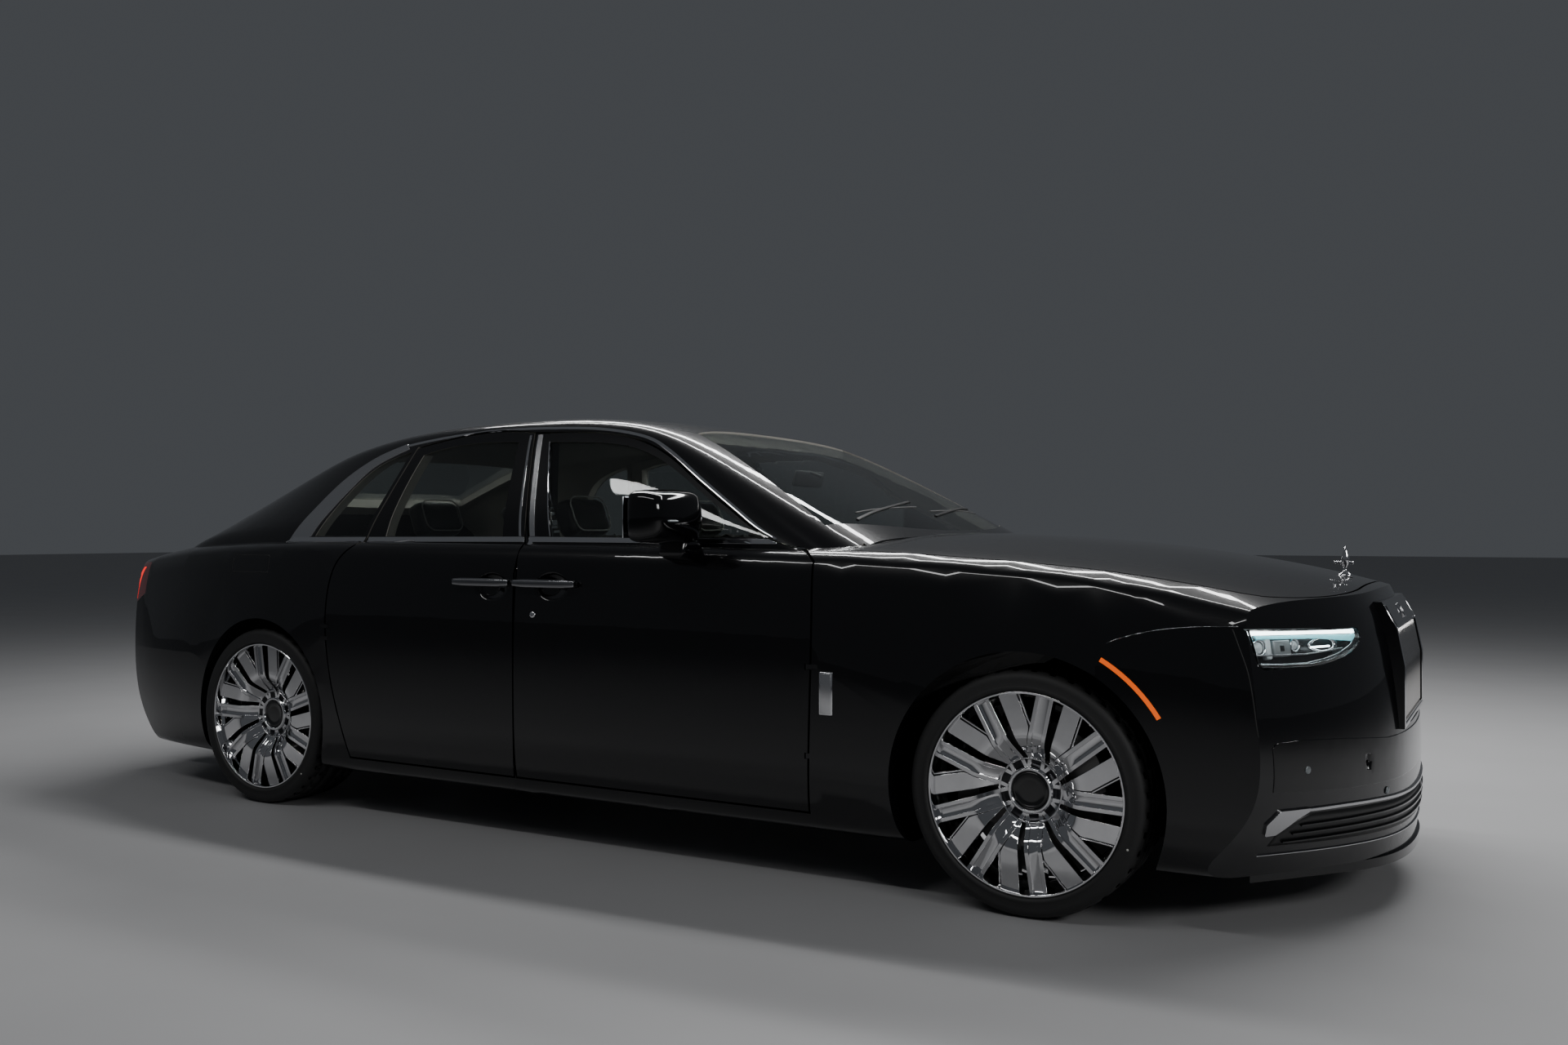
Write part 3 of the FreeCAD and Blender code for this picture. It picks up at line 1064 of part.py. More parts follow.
MIRROR_X = 640.0
MIRROR_Y = 1085.0
MIRROR_Z = 1172.0
MIRROR_LENGTH = 150.0
MIRROR_WIDTH = 235.0
MIRROR_HEIGHT = 150.0
MIRROR_ROUND = 38.0
STALK_RADIUS = 20.0
head = box(MIRROR_X - MIRROR_LENGTH / 2, MIRROR_X + MIRROR_LENGTH / 2, MIRROR_Y - MIRROR_WIDTH / 2,
           MIRROR_Y + MIRROR_WIDTH / 2, MIRROR_Z - MIRROR_HEIGHT / 2, MIRROR_Z + MIRROR_HEIGHT / 2)
head = head.makeFillet(MIRROR_ROUND, head.Edges)
stalk = rod(V(MIRROR_X, MIRROR_Y - MIRROR_WIDTH / 4, MIRROR_Z), V(MIRROR_X + MIRROR_ROUND,
    0.955 * HALF_WIDTH, 0.963 * BELT_Z), STALK_RADIUS)
mirror = largest(fused(head, stalk).cut(doors["front"]))
for side_name, side in SIDES:
    save(on_side(mirror, side), "mirror_" + side_name)

ORNAMENT_HEIGHT = 92.0
ORNAMENT_LENGTH = 84.0
ORNAMENT_WIDTH = 22.0
ORNAMENT_X = 2590.0
top_z = 0.622 * HEIGHT
foot = Part.makeCylinder(ORNAMENT_WIDTH, ORNAMENT_WIDTH * 1.2, V(ORNAMENT_X, 0, top_z - ORNAMENT_WIDTH / 2))
fin = Part.Face(Part.makePolygon([V(ORNAMENT_X + a * ORNAMENT_LENGTH, -ORNAMENT_WIDTH / 5,
                                    top_z + b * ORNAMENT_HEIGHT)
                                 for a, b in ((0.25, 0.0), (0.2, 0.3), (-0.05, 0.7), (-0.6, 1.0),
                                              (-0.42, 0.6), (-0.25, 0.0), (0.25, 0.0))]))
fin = fin.extrude(V(0, ORNAMENT_WIDTH * 0.4, 0))
save(largest(fused(foot, fin).cut(hood)), "hood_ornament")

# Cabin: dashboard with console, seats and steering wheel
DASH_FRONT_X = 1190.0
DASH_REAR_X = 780.0
DASH_TOP_Z = 1030.0
DASH_FOOT_Z = 640.0
CONSOLE_WIDTH = 260.0
CONSOLE_TOP_Z = 660.0
CONSOLE_REAR_X = -150.0
CABIN_GAP = 12.0
dash_outline = [(DASH_REAR_X + UNDER_WALL, DASH_FOOT_Z), (DASH_FRONT_X, DASH_FOOT_Z),
                (DASH_FRONT_X, DASH_TOP_Z - CABIN_GAP), (DASH_REAR_X + UNDER_WALL / 2, DASH_TOP_Z),
                (DASH_REAR_X, DASH_TOP_Z - UNDER_WALL / 2), (DASH_REAR_X, DASH_TOP_Z - UNDER_WALL * 2)]
dash = Part.Face(Part.makePolygon([V(x, -DOOR_INNER_Y + CABIN_GAP, z) for x,
                                   z in dash_outline + dash_outline[:1]])).extrude(V(0,
    2 * (DOOR_INNER_Y - CABIN_GAP), 0))
console = box(CONSOLE_REAR_X, DASH_FRONT_X - UNDER_WALL, -CONSOLE_WIDTH / 2, CONSOLE_WIDTH / 2,
              FLOOR_TOP, CONSOLE_TOP_Z)
DASH_SOCKET_GAP = 6.0
dashboard = fused(dash, console)

SEAT_WIDTH = 560.0
SEAT_Y = 430.0
FRONT_SEAT_X = 330.0
SEAT_BASE_LENGTH = 520.0
SEAT_BASE_Z = 560.0
SEAT_PLINTH = 150.0
SEAT_THICKNESS = 150.0
SEAT_BACK_HEIGHT = 640.0
SEAT_BACK_LEAN = 0.36
HEADREST_HEIGHT = 190.0
HEADREST_WIDTH = 270.0
HEADREST_GAP = 22.0
SEAT_ROUND = 30.0
REAR_SEAT_X = -600.0
REAR_SEAT_HALF_WIDTH = 588.0


def seat(base_x, half_width, middle, rests):
    """A seat: plinth and cushion, leaning back and head rests."""
    cushion = box(base_x, base_x + SEAT_BASE_LENGTH, middle - half_width, middle + half_width,
                  SEAT_BASE_Z - SEAT_THICKNESS, SEAT_BASE_Z)
    cushion = cushion.makeFillet(SEAT_ROUND, cushion.Edges)
    plinth = box(base_x + SEAT_ROUND, base_x + SEAT_BASE_LENGTH - SEAT_ROUND * 2,
                 middle - half_width + SEAT_ROUND, middle + half_width - SEAT_ROUND, FLOOR_TOP,
        SEAT_BASE_Z - SEAT_THICKNESS + SEAT_ROUND)
    back = box(-SEAT_THICKNESS, 0, middle - half_width, middle + half_width, 0, SEAT_BACK_HEIGHT)
    back = back.makeFillet(SEAT_ROUND, back.Edges)
    parts = [back]
    for y in rests:
        head = box(-SEAT_THICKNESS * 0.8, 0, y - HEADREST_WIDTH / 2, y + HEADREST_WIDTH / 2,
                   SEAT_BACK_HEIGHT + HEADREST_GAP, SEAT_BACK_HEIGHT + HEADREST_GAP + HEADREST_HEIGHT)
        parts.append(head.makeFillet(SEAT_ROUND, head.Edges))
        for off in (-HEADREST_WIDTH / 5, HEADREST_WIDTH / 5):
            parts.append(Part.makeCylinder(SEAT_ROUND / 4, HEADREST_GAP * 4,
                                           V(-SEAT_THICKNESS / 2, y + off,
                                             SEAT_BACK_HEIGHT - HEADREST_GAP)))
    upper = fused(*parts)
    upper.rotate(V(0, 0, 0), V(0, 1, 0), -math.degrees(SEAT_BACK_LEAN))
    upper.translate(V(base_x + SEAT_ROUND, 0, SEAT_BASE_Z - SEAT_ROUND * 2))
    return fused(cushion, plinth, upper)


for side_name, side in SIDES:
    save(seat(FRONT_SEAT_X - SEAT_BASE_LENGTH / 2, SEAT_WIDTH / 2, side * SEAT_Y, [side * SEAT_Y]),
         "front_seat_" + side_name)
save(seat(REAR_SEAT_X - SEAT_BASE_LENGTH / 2, REAR_SEAT_HALF_WIDTH, 0, [-SEAT_Y, SEAT_Y]), "rear_bench")

STEERING_RADIUS = 180.0
STEERING_GRIP = 15.0
STEERING_X = 700.0
STEERING_Z = 900.0
STEERING_LEAN = 24.0
COLUMN_RADIUS = 22.0
COLUMN_LENGTH = 150.0
ring = Part.makeTorus(STEERING_RADIUS, STEERING_GRIP, V(0, 0, 0), V(1, 0, 0))
boss = rod(V(-STEERING_GRIP, 0, 0), V(STEERING_GRIP * 2, 0, 0), STEERING_RADIUS / 3)
column = rod(V(0, 0, 0), V(COLUMN_LENGTH, 0, 0), COLUMN_RADIUS)
bars = []
for angle in (0, 180, 270):
    bar = box(-STEERING_GRIP / 2, STEERING_GRIP / 2, 0, STEERING_RADIUS, -STEERING_GRIP, STEERING_GRIP)
    bar.rotate(V(0, 0, 0), V(1, 0, 0), angle)
    bars.append(bar)
steering = fused(ring, boss, column, *bars)
steering.rotate(V(0, 0, 0), V(0, 1, 0), STEERING_LEAN)
steering.translate(V(STEERING_X, SEAT_Y, STEERING_Z))
save(steering, "steering_wheel")
socket = rod(V(0, 0, 0), V(COLUMN_LENGTH + DASH_SOCKET_GAP, 0, 0), COLUMN_RADIUS + RUNNING_GAP)
socket.rotate(V(0, 0, 0), V(0, 1, 0), STEERING_LEAN)
socket.translate(V(STEERING_X, SEAT_Y, STEERING_Z))
save(dashboard.cut(socket), "dashboard")

# Marker lamps on the front arch lips
MARKER_RADIUS = 467.0
MARKER_WIDTH = 13.0
MARKER_PROUD = 2.0
MARKER_START = 32.0
MARKER_SWEEP = 28.0
markers = []
for _, side in SIDES:
    ring_outer = rod(V(FRONT_AXLE_X, 0.9 * HALF_WIDTH, AXLE_Z), V(FRONT_AXLE_X, 1.1 * HALF_WIDTH,
        AXLE_Z), MARKER_RADIUS + MARKER_WIDTH / 2)
    ring_inner = rod(V(FRONT_AXLE_X, 0.9 * HALF_WIDTH, AXLE_Z), V(FRONT_AXLE_X, 1.1 * HALF_WIDTH,
        AXLE_Z), MARKER_RADIUS - MARKER_WIDTH / 2)
    wedge = Part.Face(Part.makePolygon([V(FRONT_AXLE_X,
                                          0,
        AXLE_Z)] + [V(FRONT_AXLE_X + MARKER_RADIUS * 1.5 * math.cos(math.radians(t)), 0,
                      AXLE_Z + MARKER_RADIUS * 1.5 * math.sin(math.radians(t)))
                                       for t in (MARKER_START,
                                                 MARKER_START + MARKER_SWEEP)] + [V(FRONT_AXLE_X, 0,
                                           AXLE_Z)])).extrude(V(0, FAR, 0))
    strip = ring_outer.cut(ring_inner).common(wedge)
    markers.append(on_side(largest(strip.common(lower_body(-MARKER_PROUD)).cut(belly)), side))
save(Part.makeCompound(markers), "marker_lamps")
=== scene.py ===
import math

import bmesh
import bpy
from mathutils import Matrix, Vector
from mathutils.bvhtree import BVHTree


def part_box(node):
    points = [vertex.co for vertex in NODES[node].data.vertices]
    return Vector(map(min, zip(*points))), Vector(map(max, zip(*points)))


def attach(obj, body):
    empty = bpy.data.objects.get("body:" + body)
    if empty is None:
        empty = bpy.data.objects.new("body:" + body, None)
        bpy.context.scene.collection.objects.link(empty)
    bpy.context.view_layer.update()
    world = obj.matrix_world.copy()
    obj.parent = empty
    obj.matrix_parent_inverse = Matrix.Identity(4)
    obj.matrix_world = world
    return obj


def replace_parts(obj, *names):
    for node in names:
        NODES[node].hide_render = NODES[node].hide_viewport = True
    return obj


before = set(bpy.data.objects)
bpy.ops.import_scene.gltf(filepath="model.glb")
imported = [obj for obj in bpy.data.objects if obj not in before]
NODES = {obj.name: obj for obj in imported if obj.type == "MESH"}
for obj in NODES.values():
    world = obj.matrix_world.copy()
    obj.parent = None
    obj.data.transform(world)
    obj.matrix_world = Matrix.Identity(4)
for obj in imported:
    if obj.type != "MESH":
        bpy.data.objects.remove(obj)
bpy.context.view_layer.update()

SIDES = (("left", 1), ("right", -1))

# Camera, at the height of a standing viewer's chest, near the front right corner.
# The view is level and wide enough to take in the whole length of the car.
camera_data = bpy.data.cameras.new("camera")
camera_data.lens = 30.37
camera_data.sensor_width = 36
camera_data.clip_end = 200
camera = bpy.data.objects.new("camera", camera_data)
camera.location = (3.1301, -4.6416, 1.1269)
camera.rotation_euler = (math.radians(90.372), 0, math.radians(29.797))
bpy.context.scene.collection.objects.link(camera)
bpy.context.scene.camera = camera

# Studio: a plain floor under a dim even sky, with long soft boxes over and beside the car.
# The boxes are strips, so the black paint shows their edges as clean lines.
FLOOR_HALF = 60
STRIP_LENGTH = 9
STRIP_X, STRIP_Z = 0.4, 4.8
GLOSS_SPREAD = 0.12


def feed(tree, node, inputs):
    """Gives each of a node's inputs a value or another node's socket."""
    for key, value in inputs.items():
        if isinstance(value, bpy.types.NodeSocket):
            tree.links.new(value, node.inputs[key])
        else:
            node.inputs[key].default_value = value
    return node


def put(tree, kind, inputs={}, **settings):
    """A new shader node with its settings and inputs."""
    made = tree.nodes.new("ShaderNode" + kind)
    for name, value in settings.items():
        setattr(made, name, value)
    return feed(tree, made, inputs)


def maths(tree, operation, *values):
    """The result of one math node."""
    return put(tree, "Math", dict(enumerate(values)), operation=operation).outputs[0]


def vector_of(tree, operation, *values):
    """The result of one vector math node."""
    made = put(tree, "VectorMath", dict(enumerate(values)), operation=operation)
    return made.outputs["Value" if operation in ("DOT_PRODUCT", "LENGTH") else "Vector"]


def ranged(tree, value, start, end, low, high, curve="LINEAR"):
    """A value moved from the range of start and end to that of low and high."""
    inputs = {"Value": value, "From Min": start, "From Max": end, "To Min": low, "To Max": high}
    return put(tree, "MapRange", inputs, interpolation_type=curve).outputs["Result"]


def relief(tree, height, strength, distance):
    """The normal of a surface raised by a height."""
    inputs = {"Strength": strength, "Distance": distance, "Height": height}
    return put(tree, "Bump", inputs).outputs["Normal"]


def shader_of(material):
    return material.node_tree.nodes["Principled BSDF"]


def grain_group():
    """Slow and fine changes over a surface: a tone mask, a wear mask and a height."""
    group = bpy.data.node_groups.new("surface_grain", "ShaderNodeTree")
    socket = group.interface.new_socket
    socket("Scale", in_out="INPUT", socket_type="NodeSocketFloat").default_value = 40
    socket("Stretch", in_out="INPUT", socket_type="NodeSocketVector").default_value = (1, 1, 1)
    for name in ("Tone", "Fine", "Height"):
        socket(name, in_out="OUTPUT", socket_type="NodeSocketFloat")
    inlet = group.nodes.new("NodeGroupInput")
    outlet = group.nodes.new("NodeGroupOutput")
    place = vector_of(group, "MULTIPLY", put(group, "TexCoord").outputs["Object"], inlet.outputs["Stretch"])
    slow, fine = [put(group, "TexNoise", {"Scale": scale, "Detail": detail, "Vector": place}).outputs["Fac"]
                  for scale, detail in ((1.7, 3), (inlet.outputs["Scale"], 4))]
    for name, value in (("Tone", slow), ("Fine", fine), ("Height", maths(group, "ADD", slow, fine))):
        group.links.new(value, outlet.inputs[name])
    return group


surface_grain = grain_group()


def grain_of(tree, scale, stretch=(1, 1, 1)):
    return put(tree, "Group", {"Scale": scale, "Stretch": stretch}, node_tree=surface_grain).outputs


def material_of(name):
    """An empty material, with its tree and shader."""
    material = bpy.data.materials.new(name)
    material.use_nodes = True
    return material, material.node_tree, shader_of(material)


def finish(name, dark, light, rough, metal=0, scale=40, bump=0, stretch=(1, 1, 1), coat=0, sheen=0):
    """A surface whose colour, gloss and relief change a little from place to place."""
    material, tree, shader = material_of(name)
    grain = grain_of(tree, scale, stretch)
    colours = {"Factor": grain["Fine"], "A": tuple(dark) + (1,), "B": tuple(light) + (1,)}
    colour = put(tree, "Mix", colours, data_type="RGBA").outputs["Result"]
    gloss = ranged(tree, grain["Tone"], 0, 1, rough * (1 - GLOSS_SPREAD), rough * (1 + GLOSS_SPREAD))
    feed(tree, shader, {"Base Color": colour, "Roughness": gloss, "Metallic": metal, "Coat Weight": coat,
                        "Coat Roughness": 0.02, "Sheen Weight": sheen})
    if bump:
        feed(tree, shader, {"Normal": relief(tree, grain["Height"], 0.6, bump)})
    return material


def set_down(name, mesh, material, body="body"):
    """A piece at the origin from a mesh, with its finish and the body it rides on."""
    mesh.shade_smooth()
    mesh.materials.clear()
    mesh.materials.append(material)
    piece = bpy.data.objects.new(name, mesh)
    bpy.context.scene.collection.objects.link(piece)
    if body:
        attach(piece, body)
    return piece


def joined(work, others, matrix=Matrix()):
    """Adds other bmeshes, placed by a matrix, to one."""
    for other in others:
        mesh = bpy.data.meshes.new("joined")
        other.to_mesh(mesh)
        mesh.transform(matrix)
        work.from_mesh(mesh)
        bpy.data.meshes.remove(mesh)
    return work


def finished(name, work, material, body="body"):
    """Turns a bmesh, or a list of them, into one piece."""
    if isinstance(work, list):
        work = joined(bmesh.new(), work)
    mesh = bpy.data.meshes.new(name)
    work.to_mesh(mesh)
    work.free()
    return set_down(name, mesh, material, body)


work = bmesh.new()
bmesh.ops.create_grid(work, x_segments=1, y_segments=1, size=FLOOR_HALF)
floor_grey = finish("studio_floor", (0.36, 0.36, 0.365), (0.39, 0.39, 0.395), 0.55, scale=2)
finished("studio_floor", work, floor_grey, None)

world = bpy.data.worlds.new("studio")
world.use_nodes = True
world.node_tree.nodes["Background"].inputs["Color"].default_value = (0.62, 0.66, 0.72, 1)
world.node_tree.nodes["Background"].inputs["Strength"].default_value = 0.1
bpy.context.scene.world = world


def soft_box(name, place, turn, size, power):
    data = bpy.data.lights.new(name, "AREA")
    data.shape = "RECTANGLE"
    data.size, data.size_y = size
    data.energy = power
    lamp = bpy.data.objects.new(name, data)
    lamp.location = place
    lamp.rotation_euler = [math.radians(a) for a in turn]
    bpy.context.scene.collection.objects.link(lamp)


for index, (across, wide, power) in enumerate(((1.1, 0.16, 170), (2.9, 0.5, 330))):
    soft_box("strip_over_%d" % index, (STRIP_X, across, STRIP_Z), (0, 0, 0), (STRIP_LENGTH, wide), power)
soft_box("box_front", (7.5, -3.5, 3.6), (0, 62, -25), (1.2, 3), 120)
soft_box("box_near_side", (-1.5, -6, 7.2), (40, 0, 0), (8, 0.4), 130)

# Painted panels: pressed steel and aluminium under black paint and a clear coat, with a faint fleck.
# The shell and the doors change to a pale headlining, dark carpet and dull wheel rooms inside.
DOORS = [(end, side) for end in ("front", "rear") for side in ("left", "right")]
LINING = ((0.3, 0.285, 0.26), 0.85)
CARPET = ((0.012, 0.012, 0.013), 0.9)
WHEEL_ROOM = ((0.006, 0.006, 0.006), 0.8)


def paint(name, dark, light, rough, scale, shine):
    """Black paint under a clear coat, with a dull base."""
    material = finish(name, dark, light, rough, scale=scale, coat=1)
    shader_of(material).inputs["Specular IOR Level"].default_value = shine
    return material


def inner_mask(tree, low, high):
    """One where a point lies between two corners; the Y bounds count on both sides of the car."""
    place = put(tree, "SeparateXYZ", {0: put(tree, "TexCoord").outputs["Object"]}).outputs
    across = maths(tree, "ABSOLUTE", place[1])
    result = None
    for value, least, most in zip((place[0], across, place[2]), low, high):
        for bound, kind in ((least, "GREATER_THAN"), (most, "LESS_THAN")):
            if bound is not None:
                test = maths(tree, kind, value, bound)
                result = test if result is None else maths(tree, "MULTIPLY", result, test)
    return result


def inward_mask(tree, middle_height):
    """One on faces that look towards the line along the middle of the cabin."""
    place = put(tree, "TexCoord").outputs
    middle = (0, 0, -middle_height)
    from_middle = vector_of(tree, "MULTIPLY_ADD", place["Object"], (0, 1, 1), middle)
    return maths(tree, "LESS_THAN", vector_of(tree, "DOT_PRODUCT", from_middle, place["Normal"]), 0.05)


def lined(material, low, high, middle_height, colour, rough):
    """Changes a finish to a dull lining on the inner faces between two corners."""
    tree, shader = material.node_tree, shader_of(material)
    mask = maths(tree, "MULTIPLY", inner_mask(tree, low, high), inward_mask(tree, middle_height))
    for name, value in (("Base Color", colour + (1,)), ("Roughness", rough), ("Coat Weight", 0)):
        socket = shader.inputs[name]
        old = socket.links[0].from_socket if socket.is_linked else socket.default_value
        kind = "RGBA" if name == "Base Color" else "FLOAT"
        mix = put(tree, "Mix", {"Factor": mask, "A": old, "B": value}, data_type=kind)
        feed(tree, shader, {name: mix.outputs["Result"]})


def put_on(material, *names):
    for name in names:
        mesh = NODES[name].data
        mesh.materials.clear()
        mesh.materials.append(material)


black_paint, shell_paint, door_paint = [
    paint(name, (0.0015, 0.0015, 0.002), (0.005, 0.005, 0.006), 0.28, 1400, 0.12)
    for name in ("black_paint", "shell_paint", "door_paint")]
lined(shell_paint, (-1.9, None, 1.04), (1.25, 0.93, None), 1, *LINING)
lined(shell_paint, (-1.31, None, 0.2), (1.21, 0.875, 1.06), 0.7, *CARPET)
lined(shell_paint, (-1.88, 0.4, 0), (-1.07, 0.955, 0.8), -3, *WHEEL_ROOM)
lined(door_paint, (None, None, 1.1), (None, 0.9, None), 0.9, *LINING)
put_on(shell_paint, "body_shell")
put_on(black_paint, "front_bumper", "rear_bumper", "hood", "boot_lid", "mirror_left", "mirror_right")
for end, side in DOORS:
    put_on(door_paint, "door_%s_%s" % (end, side))

# Bright trim: strips of polished stainless steel pressed round the side windows, up the rear
# pillar and along the roof rail. They are clipped to the doors and the body, and end at the shut lines.
BRIGHT = "bright_chrome"
chrome = finish(BRIGHT, (0.78, 0.78, 0.8), (0.86, 0.86, 0.87), 0.07, metal=1, scale=90)
satin_chrome = finish("satin_chrome", (0.62, 0.62, 0.63), (0.74, 0.74, 0.75), 0.24, 1, 160, 0, (1, 1, 6))
black_trim = finish("black_trim", (0.004, 0.004, 0.004), (0.01, 0.01, 0.01), 0.35, scale=220, bump=0.0002)
rubber = finish("seal_rubber", (0.01, 0.01, 0.01), (0.018, 0.018, 0.018), 0.62, scale=300, bump=0.0003)


def skin_of(*names):
    """A searchable copy of the surfaces of some CAD nodes."""
    points, faces = [], []
    for name in names:
        mesh = NODES[name].data
        base = len(points)
        points += [v.co.copy() for v in mesh.vertices]
        faces += [[base + i for i in polygon.vertices] for polygon in mesh.polygons]
    return BVHTree.FromPolygons(points, faces)


def along_line(points, share):
    """The point at a share of a line's length."""
    points = [Vector(p) for p in points]
    lengths = [(b - a).length for a, b in zip(points, points[1:])]
    left = share * sum(lengths)
    for a, b, length in zip(points, points[1:], lengths):
        if left <= length or b is points[-1]:
            return a.lerp(b, min(1, left / length)) if length else a.copy()
        left -= length
    return points[-1].copy()


def smooth_line(points, steps=6):
    """More points on a soft curve through a line's points."""
    points = [Vector(p) for p in points]
    result = []
    for i, (start, end) in enumerate(zip(points, points[1:])):
        before, after = points[max(0, i - 1)], points[min(len(points) - 1, i + 2)]
        for k in range(steps):
            t = k / steps
            bend = (2 * before - 5 * start + 4 * end - after) * t * t
            result.append(0.5 * (2 * start + (end - before) * t + bend
                                 + (3 * start - before - 3 * end + after) * t * t * t))
    return result + [points[-1]]


def plate(rows, cols, corner):
    """A closed plate; corner(along, across) gives its top and its foot at two shares."""
    work = bmesh.new()
    bmesh.ops.create_grid(work, x_segments=rows, y_segments=cols, size=1)
    work.verts.index_update()
    tops, marks = [], {}
    for index, vertex in enumerate(work.verts):
        top, vertex.co = corner((vertex.co.x + 1) / 2, (vertex.co.y + 1) / 2)
        tops.append(top)
        marks[tuple(round(c, 6) for c in vertex.co)] = index
    lifted = bmesh.ops.extrude_face_region(work, geom=list(work.faces), use_keep_orig=True)
    for vertex in [g for g in lifted["geom"] if isinstance(g, bmesh.types.BMVert)]:
        vertex.co = tops[marks[tuple(round(c, 6) for c in vertex.co)]]
    bmesh.ops.recalc_face_normals(work, faces=work.faces)
    return work


def rim(piece, width):
    """Rounds a piece's sharp edges."""
    bevel = piece.modifiers.new("rim", "BEVEL")
    bevel.width = width
    bevel.segments = 2
    bevel.limit_method = "ANGLE"
    bevel.angle_limit = math.radians(40)
    bevel.harden_normals = True
    return piece


LOOKS = {"left": (Vector((0, -1, 0)), lambda a, b: Vector((a, 1.6, b))),
         "right": (Vector((0, 1, 0)), lambda a, b: Vector((a, -1.6, b))),
         "front": (Vector((-1, 0, 0)), lambda a, b: Vector((3.4, a, b))),
         "rear": (Vector((1, 0, 0)), lambda a, b: Vector((-3.4, a, b))),
         "top": (Vector((0, 0, -1)), lambda a, b: Vector((a, b, 2.4)))}


def laid_patch(name, low, high, look, skin, material, body="body", rows=30, cols=3, proud=0.002, sink=0.004,
               edge=0.0008, slot=None):
    """A plate laid on the skin between two lines drawn in one view."""
    direction, start = LOOKS[look]
    depth = max(range(3), key=lambda k: abs(direction[k]))
    last = []

    def corner(along, across):
        flat = along_line(low, along).lerp(along_line(high, along), across)
        place, normal, _, _ = skin.ray_cast(start(flat.x, flat.y), direction)
        if place is None:
            guess = start(flat.x, flat.y)
            if last:
                guess[depth] = last[0][depth]
            place, normal, _, _ = skin.find_nearest(guess)
        if normal.dot(direction) > 0:
            normal = -normal
        last[:] = [place + normal * proud]
        return last[0], place - normal * sink

    piece = finished(name, plate(rows, cols, corner), material, body)
    return rim(piece, edge) if edge else piece


def laid_patches(look, skin, body, table, side="", sign=1):
    """Patches on one skin, seen in one view; a sign of -1 carries their lines over to the other side."""
    pieces = []
    for name, low, high, *rest in table:
        low, high = [[(sign * a, b) for a, b in line] for line in (low, high)]
        pieces.append(laid_patch(name + side, low, high, look, skin, rest[0], body, *rest[1:]))
    return pieces


def level(left, right, low, high):
    """The lower and upper line of a rectangle."""
    return [(left, low), (right, low)], [(left, high), (right, high)]


def laid_strip(name, points, wide, skin, material, rows, cols=1, proud=0.003, sink=0.002, edge=0):
    """A strip that follows the skin along a line of points near it."""
    line = smooth_line(points)

    def corner(along, across):
        ahead = along_line(line, min(1, along + 0.01)) - along_line(line, max(0, along - 0.01))
        place, normal, _, _ = skin.find_nearest(along_line(line, along))
        offset = across * 2 - 1
        place, normal, _, _ = skin.find_nearest(place + normal.cross(ahead).normalized() * (wide / 2) * offset)
        if normal.dot(Vector((0, place.y, place.z - 0.75))) < 0:
            normal = -normal
        crown = proud * (1 - 0.35 * abs(offset))
        return place + normal * crown, place - normal * sink

    piece = finished(name, plate(rows, cols, corner), material)
    return rim(piece, edge) if edge else piece


PILLAR_OUTER, PILLAR_INNER = [smooth_line(points) for points in (
    [(-1.412, 1.08), (-1.331, 1.197), (-1.209, 1.333), (-1.052, 1.426), (-0.875, 1.481)],
    [(-1.268, 1.104), (-1.212, 1.19), (-1.125, 1.297), (-1.025, 1.39), (-0.848, 1.458)])]
RAIL = [(-0.87, 0.742, 1.478), (-0.605, 0.748, 1.511), (-0.354, 0.75, 1.528), (-0.107, 0.75, 1.524),
        (0.13, 0.75, 1.508), (0.327, 0.753, 1.467), (0.45, 0.776, 1.412), (0.619, 0.822, 1.303),
        (0.776, 0.863, 1.205), (0.889, 0.891, 1.134), (0.958, 0.902, 1.098)]
shell_skin = skin_of("body_shell")
door_skins = {(end, side): skin_of("door_%s_%s" % (end, side)) for end, side in DOORS}


def mirrored(points, sign):
    """A line of (x, y, z) points on one side of the car."""
    return [(a, sign * b, c) for a, b, c in points]


for side, sign in SIDES:
    shell = (shell_skin, "body")
    front = (door_skins["front", side], "door_front_%s_body" % side)
    rear = (door_skins["rear", side], "door_rear_%s_body" % side)
    for label, low, high, (skin, body), rows in (
            ("quarter_", [(-1.395, 1.08), (-0.936, 1.084)], [(-1.38, 1.101), (-0.93, 1.103)], shell, 30),
            ("rear_door_", [(-0.915, 1.084), (-0.096, 1.087)], [(-0.912, 1.103), (-0.098, 1.106)], rear, 40),
            ("front_door_", [(-0.08, 1.087), (0.965, 1.084)], [(-0.082, 1.106), (0.95, 1.1)], front, 50)):
        laid_patch("belt_strip_" + label + side, low, high, side, skin, chrome, body, rows, proud=0.004,
                   slot=BRIGHT)
    laid_patch("rear_pillar_band_" + side, PILLAR_INNER, PILLAR_OUTER, side, shell_skin, satin_chrome, rows=60,
               cols=6, proud=0.003, slot=BRIGHT)
    laid_strip("roof_rail_strip_" + side, mirrored(RAIL, sign), 0.012, shell_skin, chrome, 120, 2, sink=0.004,
               edge=0.0012)
    for label, low, high, wide, (skin, body), material, proud in (
            ("rear_edge_", (-0.124, 1.108), (-0.203, 1.49), 0.011, rear, chrome, 0.004),
            ("middle_", (-0.066, 1.108), (-0.155, 1.49), 0.024, front, satin_chrome, 0.004),
            ("front_edge_", (0.018, 1.108), (-0.1, 1.462), 0.007, front, chrome, 0.003)):
        left, right = [[(a + off, b) for a, b in (low, high)] for off in (-wide / 2, wide / 2)]
        laid_patch("pillar_strip_" + label + side, left, right, side, skin, material, body, proud=proud,
                   slot=BRIGHT)

